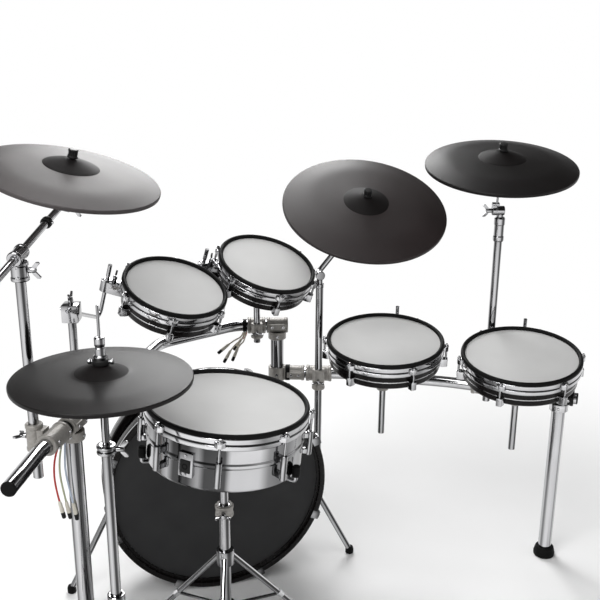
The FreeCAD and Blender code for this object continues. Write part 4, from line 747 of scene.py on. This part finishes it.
def add_rack():
    pipe = Piece("rack_left_pipe_tube")
    upper = [(*spot, UPPER) for spot in (WING_END, WING_BEND, LEFT_BEND, FAR_BEND)]
    upper.append(beyond(FAR_BEND, CENTRE, UPPER, 26))
    pipe.tube(arc_path(upper, 105, 14), PIPE, HOOP_CHROME, segments=48)
    pipe.finish("kit", "rack_left_pipe")
    pipe = Piece("rack_right_pipe_tube")
    lower = [beyond(CENTRE_BEND, CENTRE, LOWER, -22), (*CENTRE_BEND, LOWER), (*RIGHT_BEND, LOWER),
             beyond(RIGHT_BEND, RIGHT, LOWER, 45)]
    pipe.tube(arc_path(lower, 500, 14), PIPE, HOOP_CHROME, segments=48)
    pipe.finish("kit", "rack_right_pipe")

    left, left_turn = run_spot(WING_BEND, LEFT_BEND, 1, -235, UPPER)
    centre, centre_turn = run_spot(FAR_BEND, CENTRE, 0, CENTRE[0], UPPER)
    low_centre, low_turn = run_spot(CENTRE, CENTRE_BEND, 0, CENTRE[0], LOWER)
    right, right_turn = run_spot(RIGHT_BEND, RIGHT, 0, RIGHT[0], LOWER)
    posts = Piece("rack_upright_tubes")
    feet = Piece("rack_rubber")
    for spot, plating in ((left, CHROME), (centre, CHROME), (right, HOOP_CHROME)):
        at = put((*spot.xy, 0))
        posts.ring(16.5, UPRIGHT, 30, spot.z - UPRIGHT, plating, at, 0.6)
        foot = [(0, 0), (28, 0), (30, 3), (30, 15), (26, 30), (16, 30), (16, 44), (0, 44)]
        feet.turn(foot, 2, RUBBER, at, 48)
        for level in (6, 11):
            feet.ring(28, 30.6, level, level + 2, RUBBER, at, 0.6)
    posts.finish("kit", "rack_uprights")
    for start, end, distance, height in (
            (WING_BEND, WING_END, 0, UPPER), (FAR_BEND, CENTRE, 26, UPPER), (RIGHT_BEND, RIGHT, 45, LOWER)):
        at = put(beyond(start, end, height, distance), turned(heading(start, end)))
        feet.turn([(0, 0), (PIPE, 0), (PIPE, 2.4), (13.5, 4), (0, 4)], 1.0, RUBBER, at)
    feet.finish("kit", "rack_feet_and_caps")

    casts = Piece("rack_castings")
    lay = tip(90, "Y")
    for spot, turn, length, kind, collar in (
            (left, left_turn, 62, CAST, CAST), (centre, centre_turn, 62, CAST, CAST),
            (right, right_turn, 76, PLASTIC, HOOP_CHROME)):
        at = put(spot, turn)
        half = length / 2
        add_sleeve(casts, PIPE + 0.1, 23, -half, half, kind, at @ lay, 48)
        casts.ring(UPRIGHT + 0.1, 26, -40, -17.6, collar, at, 1.6)
        casts.block((-half + 6, -24.5, -9), (half - 6, -20, 9), kind, at, 1.8)
        side_bolts(casts, at, [(15 - half, -24.4, 0, -1), (half - 15, -24.4, 0, -1), (0, -25.6, -29, -1)])
    at = put(low_centre, low_turn)
    casts.ring(UPRIGHT + 0.1, 26, -20, 20, CAST, at, 1.6)
    add_sleeve(casts, PIPE + 0.1, 23, 22, 81, CAST, at @ lay, 48)
    casts.ring(PIPE + 0.2, 23.6, 25, 38, RUBBER, at @ lay, 1.0)
    casts.block((30, -24.5, -8), (74, -20, 8), CAST, at, 1.8)
    side_bolts(casts, at, [(42, -24.4, 0, -1), (64, -24.4, 0, -1), (0, -25.6, 0, -1)])

    wings = Piece("rack_wing_screws")
    for start, end, axis, value, level, side, (bore, length, height) in (
            (WING_BEND, LEFT_BEND, 1, -318, UPPER, 1, POLE_CLAMP),
            (WING_BEND, LEFT_BEND, 1, -115, UPPER, 1, POST_CLAMP),
            (FAR_BEND, CENTRE, 0, -157, UPPER, -1, POST_CLAMP),
            (CENTRE, CENTRE_BEND, 0, 27, LOWER, -1, POLE_CLAMP),
            (CENTRE_BEND, RIGHT_BEND, 0, 221, LOWER, -1, POST_CLAMP),
            (RIGHT_BEND, RIGHT, 0, 590, LOWER, -1, POST_CLAMP),
            (RIGHT_BEND, RIGHT, 0, 503, LOWER, 1, POLE_CLAMP)):
        at = put(*run_spot(start, end, axis, value, level))
        half = length / 2
        add_sleeve(casts, PIPE + 0.1, 24, -half, half, CAST, at @ lay, 48)
        add_sleeve(casts, bore + 0.05, bore + 8, -height / 2, height / 2, CAST, at @ move(0, REACH * side, 0))
        near, far = sorted((17.5 * side, (REACH - bore - 1.5) * side))
        casts.block((-bore - 4, near, -height * 0.35), (bore + 4, far, height * 0.35), CAST, at, 2.0)
        bolts = [(x, -24 * side, z, -side) for x in (-half + 13, half - 13) for z in (-7, 7)]
        side_bolts(casts, at, bolts, 3.4)
        wings.wing_bolt(at @ move(0, (REACH + bore + 8) * side, 0) @ tip(-90 * side, "X"))
    casts.finish("kit", "rack_clamps")
    wings.finish("kit", "rack_wing_bolts")


add_rack()


# Cymbals
CRASH, RIDE, HIHAT, BELL_EDGE = 203, 229, 180, 63


def pad_outline(radius, rise=24.0):
    """A pad's section, from the hole under the bell out to the edge and back over the top."""
    middle = radius * 0.6 + BELL_EDGE * 0.4
    drop = rise * 0.42
    bow = []
    for k in range(9):
        r = BELL_EDGE + (radius - BELL_EDGE) * k / 8
        if r < middle:
            bow.append((r, -2 + (2 - drop) * (r - BELL_EDGE) / (middle - BELL_EDGE)))
        else:
            bow.append((r, -drop - (rise - drop) * (r - middle) / (radius - middle)))
    under = [(5.6, 0.2)] + [(r - (0.5 if r == radius else 0), low + 0.2) for r, low in bow]
    edge = [(radius, 2.5 - rise), (radius, 7 - rise)]
    over = [(r - (1.5 if r == radius else 0), low + 8.9) for r, low in reversed(bow[1:])]
    return under + edge + over + [(62, 6.7), (58, 7.2), (53, 8.2), (48, 9.4), (14, 20), (5.6, 20)]


BELL = [(61, 6.2), (63, 6.6), (60, 8.2), (54, 10.2), (45, 13.8), (36, 16.9), (28, 19.6), (20, 22.2),
        (14, 23.9), (5.6, 23.9), (5.6, 19)]
SOFT_BELL = [(50, 7.4), (53, 8.2), (49, 9.5), (44, 11.5), (39, 13.9), (34, 16.5), (28, 19.4), (21, 22.2),
             (14, 23.9), (5.6, 23.9), (5.6, 19)]


def cymbal_seat(pivot, normal):
    """A tilter's pivot, with Z along the pad's normal and X along the tilter's hinge."""
    normal = Vector(normal).normalized()
    hinge = Vector((normal.z, 0, -normal.x)).normalized()
    return put(pivot, axes(hinge, normal.cross(hinge), normal))


LEFT_SEAT = cymbal_seat((-559.75, -49.78, 1104.84), (0.23, -0.12, 0.966))
RIDE_SEAT = cymbal_seat((142.58, 437.55, 968.52), (0.095, -0.442, 0.892))
RIGHT_SEAT = cymbal_seat((506.46, 395.2, 1011.89), (-0.01, -0.213, 0.977))
BOOM_END = Vector((-8.9, 0, 0))
NUT = [(0, 0), (11, 0), (12, 1.2), (12, 4), (9.4, 5.4), (9.4, 15), (11.4, 16.4), (11.4, 18.6), (9.8, 20),
       (0, 20)]


def add_pad(name, outline, bell, material, at, body, replaced):
    pad = Piece(name)
    pad.lathe(outline, material, at, 160)
    pad.lathe(bell, PAD_BELL_PAINTED_SHADE, at, 128)
    pad.finish(body, replaced)


def add_teeth(piece, at, first, high):
    """Eighteen teeth round a knuckle's disc."""
    for k in range(18):
        piece.block((11.0, -1.1, 0.15), (13.3, 1.1, high), STEEL, spin_about(at, 20 * k + first), 0.3)


def add_cymbal(name, radius, at, stem, material, side):
    """A pad on its tilter, whose wing bolt is on the hinge's positive or negative side."""
    add_pad(name + "_pad_rubber", pad_outline(radius), BELL, material, at @ move(0, 0, stem),
            name + "_cymbal", name + "_pad")

    tilter = Piece(name + "_tilter_fitting")
    across = at @ tip(90 * side, "Y")
    tilter.turn([(0, 0.2), (13, 0.2), (13, 10), (10, 13), (0, 13)], 1.2, CHROME, across, 36)
    add_teeth(tilter, across, 0, 3.2)
    left, right = sorted((side * 13.0, side * 0.2))
    tilter.block((left, -7, 0), (right, 7, 22), CHROME, at, 1.5)
    left, right = sorted((side * 13.0, -side * 7.0))
    tilter.block((left, -7, 14.6), (right, 7, 22.4), CHROME, at, 1.8)
    tilter.disc(3, 20, stem + 30, CHROME, at, 0.3, 24)
    tilter.ring(2.8, 8, stem - 9.8, stem - 1.0, RUBBER, at, 1.0, 32)
    tilter.ring(2.8, 10.5, stem - 13.2, stem - 9.8, STEEL, at, 0.7, 32)
    nut = at @ move(0, 0, stem + 26)
    tilter.turn(NUT, 0.8, PLASTIC, nut)
    for k in range(12):
        tilter.block((8.8, -1.0, 5), (10.4, 1.0, 16), PLASTIC, spin_about(nut, 30 * k), 0.3)
    tilter.wing_bolt(across @ move(0, 0, 13))
    tilter.finish(name + "_head", name + "_tilter")


def toothed_disc(piece, at, thickness):
    """A knuckle's disc on Z, its teeth at the origin's side."""
    outline = [(0, 0.2), (13, 0.2), (13, thickness - 1), (11.5, thickness), (0, thickness)]
    piece.turn(outline, 1.0, CHROME, at, 36)
    add_teeth(piece, at, 10, 3.0)


def straight_pole(piece, at, bottom, top):
    piece.ring(9, POLE, bottom, top, CHROME, at, 0.6, 40)
    piece.disc(9.2, bottom - 0.5, bottom + 6, PLASTIC, at, 0.6)


def add_stands():
    spot = (-595.98, -308.2)
    pole = Piece("left_crash_pole_tube")
    straight_pole(pole, put((*spot, 0)), 560, 1040)
    pole.finish("left_crash_mast", "left_crash_pole")
    clamp = Vector((*spot, 1025))
    start = clamp + UP * 30
    end = LEFT_SEAT @ BOOM_END
    line = (end - start).normalized()
    out = Vector((line.y, -line.x, 0)).normalized()
    grip = Piece("left_crash_boom_casting")
    add_sleeve(grip, POLE + 0.05, 19, -23, 18, CHROME, put(clamp))
    add_sleeve(grip, BOOM + 0.05, 16, -23, 23, CHROME, put(start, turned(line)))
    grip.wing_bolt(put(clamp + out * 19, turned(out)))
    for level in (-14, 8):
        grip.bolt_head(put(clamp + Vector((0, -18.6, level)), turned((0, -1, 0))), 3.6)
    grip.finish("left_crash_swivel", "left_crash_boom_clamp")
    tail = start - line * 150
    stop = start + line * 165
    boom = Piece("left_crash_boom_bar")
    boom.tube([tail, end], BOOM, CHROME, segments=32)
    boom.disc(8.4, -3, 4, PLASTIC, put(tail, turned(line)), 0.8)
    boom.ring(7.9, 12.5, -6, 6, PLASTIC, put(stop, turned(line)), 1.2, 36)
    boom.bolt_head(put(stop + out * 12, turned(out)), 3.2)
    toothed_disc(boom, LEFT_SEAT @ tip(-90, "Y"), 17.5)
    boom.finish("left_crash_arm", "left_crash_boom")

    at = put((24.8, 406.0, 0))
    pole = Piece("ride_pole_tube")
    straight_pole(pole, at, 218, 796)
    swing = Vector((21.72, 416.75, 822))
    axis = Vector((-0.2779, 0.9606, 0)).normalized()
    toothed_disc(pole, put(swing, turned(-axis)), 22)
    pole.disc(8.9, 780, 815, CHROME, at, 0.6)
    pole.ring(8.8, 12.4, 786, 797.5, CHROME, at, 1.0, 40)
    pole.finish("ride_mast", "ride_pole")
    boom = Piece("ride_boom_bar")
    boom.tube([swing + axis * 10.4, RIDE_SEAT @ BOOM_END], BOOM, CHROME, segments=32)
    toothed_disc(boom, put(swing, turned(axis)), 20.5)
    toothed_disc(boom, RIDE_SEAT @ tip(-90, "Y"), 17.5)
    boom.finish("ride_arm", "ride_boom")

    at = put((517.6, 395.2, 0))
    pole = Piece("right_crash_pole_tube")
    straight_pole(pole, at, 448, 986)
    toothed_disc(pole, RIGHT_SEAT @ tip(90, "Y"), 22)
    pole.disc(8.9, 970, 1004, CHROME, at, 0.6)
    collar = [(8.8, 926), (13, 926), (15, 930), (15, 940), (13.6, 942), (13.6, 972), (15, 974), (15, 990),
              (13, 995), (8.8, 995)]
    pole.turn(collar, 1.2, CHROME, at)
    pole.finish("right_crash_mast", "right_crash_pole")


add_stands()
add_cymbal("left_crash", CRASH, LEFT_SEAT, 88, PAD_PAINTED_LIGHT, 1)
add_cymbal("ride", RIDE, RIDE_SEAT, 66, PAD, 1)
add_cymbal("right_crash", CRASH, RIGHT_SEAT, 146, PAD_PAINTED_SHADE, -1)


# Floor tripods
def around(reach, angle, height):
    turn = math.radians(angle)
    return Vector((reach * math.cos(turn), reach * math.sin(turn), height))


def add_tripod(piece, at, tube, reach, top, low, first):
    """Three legs with their struts, from an upper and a lower collar on a tube."""
    for level, half in ((top, 20), (low, 12)):
        piece.ring(tube + 0.1, tube + 8, level - half, level + half, CHROME, at, 2, 40)
    for angle in (first, first + 120, first + 240):
        start = around(tube + 4, angle, top)
        end = around(reach, angle, 12)
        middle = start + (end - start) * 0.55
        piece.tube([start, end], 7, CHROME, at, 24)
        piece.tube([around(tube + 4, angle, low), middle], 4, CHROME, at, 20)
        piece.ring(6.6, 8.4, -9, 9, STEEL, at @ put(middle, turned(end - start)), 1.2, 28)
        foot = at @ put(around(reach, angle, 0))
        piece.turn([(0, 0), (12, 0), (13, 2), (13, 14), (9.5, 24), (0, 24)], 1.6, RUBBER, foot, 32)
        for level in (4, 8, 12):
            piece.ring(12, 13.4, level, level + 1.8, RUBBER, foot, 0.5, 32)


# Hi-hat
def add_hihat():
    at = put((-419, -418, 0))
    stand = Piece("hihat_stand_frame")
    add_tripod(stand, at, POLE, 260, 320, 150, 90)
    stand.ring(8.1, POLE, 108, 672, CHROME, at, 0.6, 40)
    seat = [(5, 600), (8, 600), (8, 779.7), (22, 784), (24, 786), (24, 791.7), (5, 791.7)]
    stand.turn(seat, 1.2, CHROME, at, 48)
    stand.ring(16, 23.6, 787, 792, RUBBER, at, 0.8)
    collar = [(8.1, 672), (18, 672), (20, 674), (20, 679), (17, 681), (17, 684), (20, 686), (20, 690),
              (18, 692), (8.1, 692)]
    stand.turn(collar, 0.8, CHROME, at)
    stand.wing_bolt(at @ put((20, 0, 682), turned((1, 0, 0))))
    stand.block((-40, -22, 100), (40, 22, 108), STEEL, at, 2)
    stand.block((-44, -245, 0), (44, -191, 6), STEEL, at, 2)
    for side in (-1, 1):
        low, high = sorted((36 * side, 40 * side))
        stand.block((low, -22, 4), (high, 22, 108), STEEL, at, 1.2)
        stand.block((40 * side - 3, -215, 0), (40 * side + 3, -195, 24), STEEL, at, 1.2)
        stand.tube([(40 * side, 0, 4.5), (40 * side, -205, 4.5)], 4, STEEL, at, 20)
        stand.bolt_head(at @ put((43 * side, -205, 14), turned((side, 0, 0))), 5)
    stand.ring(5, 14, 107, 116, STEEL, at, 1.2, 32)
    stand.finish("kit", "hihat_stand")

    pedal = Piece("hihat_footboard_plate")
    board = at @ move(0, -205, 14) @ tip(12, "X")
    outline = [(-30, 2), (-34, 14), (-34, 190), (-27, 210), (-15, 217.5), (15, 217.5), (27, 210), (34, 190),
               (34, 14), (30, 2)]
    pedal.prism(outline, -4, 2.4, STEEL, board, 1.2)
    for k in range(9):
        pedal.block((-26, 34 + k * 18, 1.6), (26, 40 + k * 18, 4), RUBBER, board, 0.8)
    pedal.tube([(-42, 0, 0), (42, 0, 0)], 5, STEEL, board, 24)
    pedal.finish("hihat_footboard", "hihat_pedal")

    rod = Piece("hihat_pull_rod")
    rod.disc(3, 62.8, 985, CHROME, at, 0.6, 24)
    rod.disc(9, 831, 839.6, RUBBER, at, 1.0)
    rod.turn([(2.8, 864.4), (16, 864.4), (17, 866), (17, 874.5), (14, 876.3), (2.8, 876.3)], 1, PLASTIC, at)
    clutch = [(2.8, 876), (14, 876), (14, 883), (10.6, 885), (10.6, 899), (9.4, 900), (9.4, 903), (10.6, 904),
              (10.6, 919), (9, 921), (2.8, 921)]
    rod.turn(clutch, 0.7, CHROME, at, 36)
    for side in (-1, 1):
        ear = at @ put((15 * side, 0, 870.3), turned((side, 0, 0)))
        rod.turn([(0, 0), (4, 0), (4, 3), (5.5, 5), (5.5, 9), (4, 11), (0, 11)], 0.8, CHROME, ear, 24)
    rod.finish("hihat_upper", "hihat_rod")

    add_pad("hihat_top_rubber", pad_outline(HIHAT, 12.0), SOFT_BELL, PAD_PAINTED_SHADE, at @ move(0, 0, 840),
            "hihat_upper", "hihat_top_pad")
    bottom = Piece("hihat_bottom_rubber")
    outline = [(6.1, 792), (86, 792), (95, 796), (95, 803), (90, 806), (60, 806), (58, 804.6), (52, 804.6),
               (50, 806), (6.1, 806)]
    bottom.turn(outline, 1.2, PAD_PAINTED_SHADE, at, 128)
    bottom.finish("kit", "hihat_bottom_pad")


add_hihat()


# Snare stand
def add_snare_stand():
    radius, depth, head = SNARE[1:4]
    normal = NORMALS["snare"]
    bottom = Vector(head) - normal * depth
    hub = bottom - normal * 22
    basket = Piece("snare_basket_cradle")
    at = put(bottom, turned(normal))
    reach = radius + 9.6
    for angle in (-28, 107, 197):
        arm = [around(11, angle, -5.6), around(reach, angle, -5.6), around(reach, angle, 32)]
        basket.tube(arc_path(arm, 7), 5, CHROME, at)
        hook = at @ put(around(reach, angle, 0))
        grip = [(5.1, 6), (8, 6), (9, 9), (9, 30), (8, 32.4), (0, 32.4), (0, 31.8), (5.1, 31.8)]
        basket.turn(grip, 1.0, RUBBER, hook, 32)
        for level in (12, 17, 22):
            basket.ring(8.2, 9.3, level, level + 2, RUBBER, hook, 0.4, 32)
    basket.disc(22, -47, -3.2, CAST, at, 2.4, 40)
    basket.tube([(hub.x, hub.y, 290), hub], 10, CHROME, segments=32)
    basket.finish("snare_top", "snare_basket")

    stand = Piece("snare_stand_frame")
    at = put((*hub.xy, 0))
    add_tripod(stand, at, 13, 255, 290, 150, -90)
    stand.ring(10.05, 13, 110, 430, CHROME, at, 0.6, 40)
    add_sleeve(stand, 13.1, 22, 400, 430, CAST, at)
    stand.wing_bolt(at @ put((0, -22, 415), turned((0, -1, 0))))
    stand.finish("kit", "snare_stand")


add_snare_stand()


# Kick: its shell's radius, its depth over the hoops, and sections and a claw's outline
KICK, KICK_DEPTH = 279, 150
KICK_HOOP = [(286, -0.4), (298, -0.4), (300, -2.4), (300, -5.2), (297.6, -5.2), (297.6, -11.8), (300, -11.8),
             (300, -37.6), (298, -40), (283.4, -40), (283.4, -18), (279.2, -18), (279.2, -13), (286, -13)]
KICK_SKIN = [(0, -18.3), (272, -18.3), (276, -17.4), (283, -18.3), (283, -31.8), (279.4, -31.8),
             (279.4, -19.6), (0, -19.6)]
CLAW = [(285.6, -11), (298, -12), (304, -10), (308, -6), (308, 6), (304, 10), (298, 12), (285.6, 11)]


def add_kick():
    axis = Vector((0.26, -0.9656, 0)).normalized()
    side = Vector((-axis.y, axis.x, 0))
    middle = Vector((-247, 110, 300))
    batter = put(middle, axes(side, UP, axis))
    front = put(middle - axis * KICK_DEPTH, axes(-side, UP, -axis))

    shell = Piece("kick_shell_barrel")
    shell.ring(KICK - 8, KICK, -130, -20, SHELL, batter, 1, 160)
    for level in (-50, -100):
        shell.ring(KICK - 1, KICK + 0.6, level - 1.6, level + 1.6, CHROME, batter, 0.4, 160)
    shell.finish("kit", "kick_shell")

    hoops = Piece("kick_hoop_rings")
    heads = Piece("kick_head_cloths")
    for at in (batter, front):
        heads.lathe(KICK_SKIN, KICK_HEAD, at, 160)
        hoops.turn(KICK_HOOP, 1.2, SHELL, at, 160)
        hoops.ring(297, 299.8, -11.6, -5.4, CHROME, at, 0.4, 160)
        for k in range(8):
            claw = spin_about(at, 22.5 + 45 * k)
            hoops.prism(CLAW, -0.8, 0, CHROME, claw, 0.3)
            hoops.block((299, -12, -36), (308, 12, -0.6), CHROME, claw, 2.2)
            hoops.block((285.6, -9, -13), (288.4, 9, -0.6), CHROME, claw, 0.8)
    for k in range(8):
        rod = spin_about(batter, 22.5 + 45 * k) @ move(293, 0, 0)
        hoops.disc(3.5, -110, -40, CHROME, rod, 0.4, 24)
        hoops.ring(3.3, 6.5, -92, -58, CHROME, rod, 1.2, 28)
    hoops.finish("kit", "kick_hoops")
    heads.finish("kit", "kick_heads")

    for name, sign in (("left", -1), ("right", 1)):
        line = around(1, -12, 0)
        line.x *= sign
        start = line * (KICK + 0.3) + Vector((0, 0, -75))
        foot = Vector((402 * sign, -300, -75))
        spur = Piece("kick_%s_spur_leg" % name)
        boss = batter @ put(start, turned(line))
        outline = [(0, 0), (14, 0), (14, 6), (12.6, 8), (12.6, 18), (14, 20), (14, 24), (12, 26), (0, 26)]
        spur.turn(outline, 1, CHROME, boss)
        spur.tube([start + line * 13, foot + Vector((0, 11, 0))], 8, CHROME, batter, 28)
        shoe = batter @ put(foot, turned((0, 1, 0)))
        spur.turn([(0, 0), (10.5, 0), (12, 2), (12, 14), (9.4, 22), (0, 22)], 1.4, RUBBER, shoe, 32)
        spur.finish("kick_%s_leg" % name, "kick_%s_spur" % name)


add_kick()

# Trigger plates and cones stay as built, in foam
for trigger in (*NORMALS, "kick"):
    for slot in bpy.data.objects[trigger + "_sensor"].material_slots:
        slot.material = FOAM
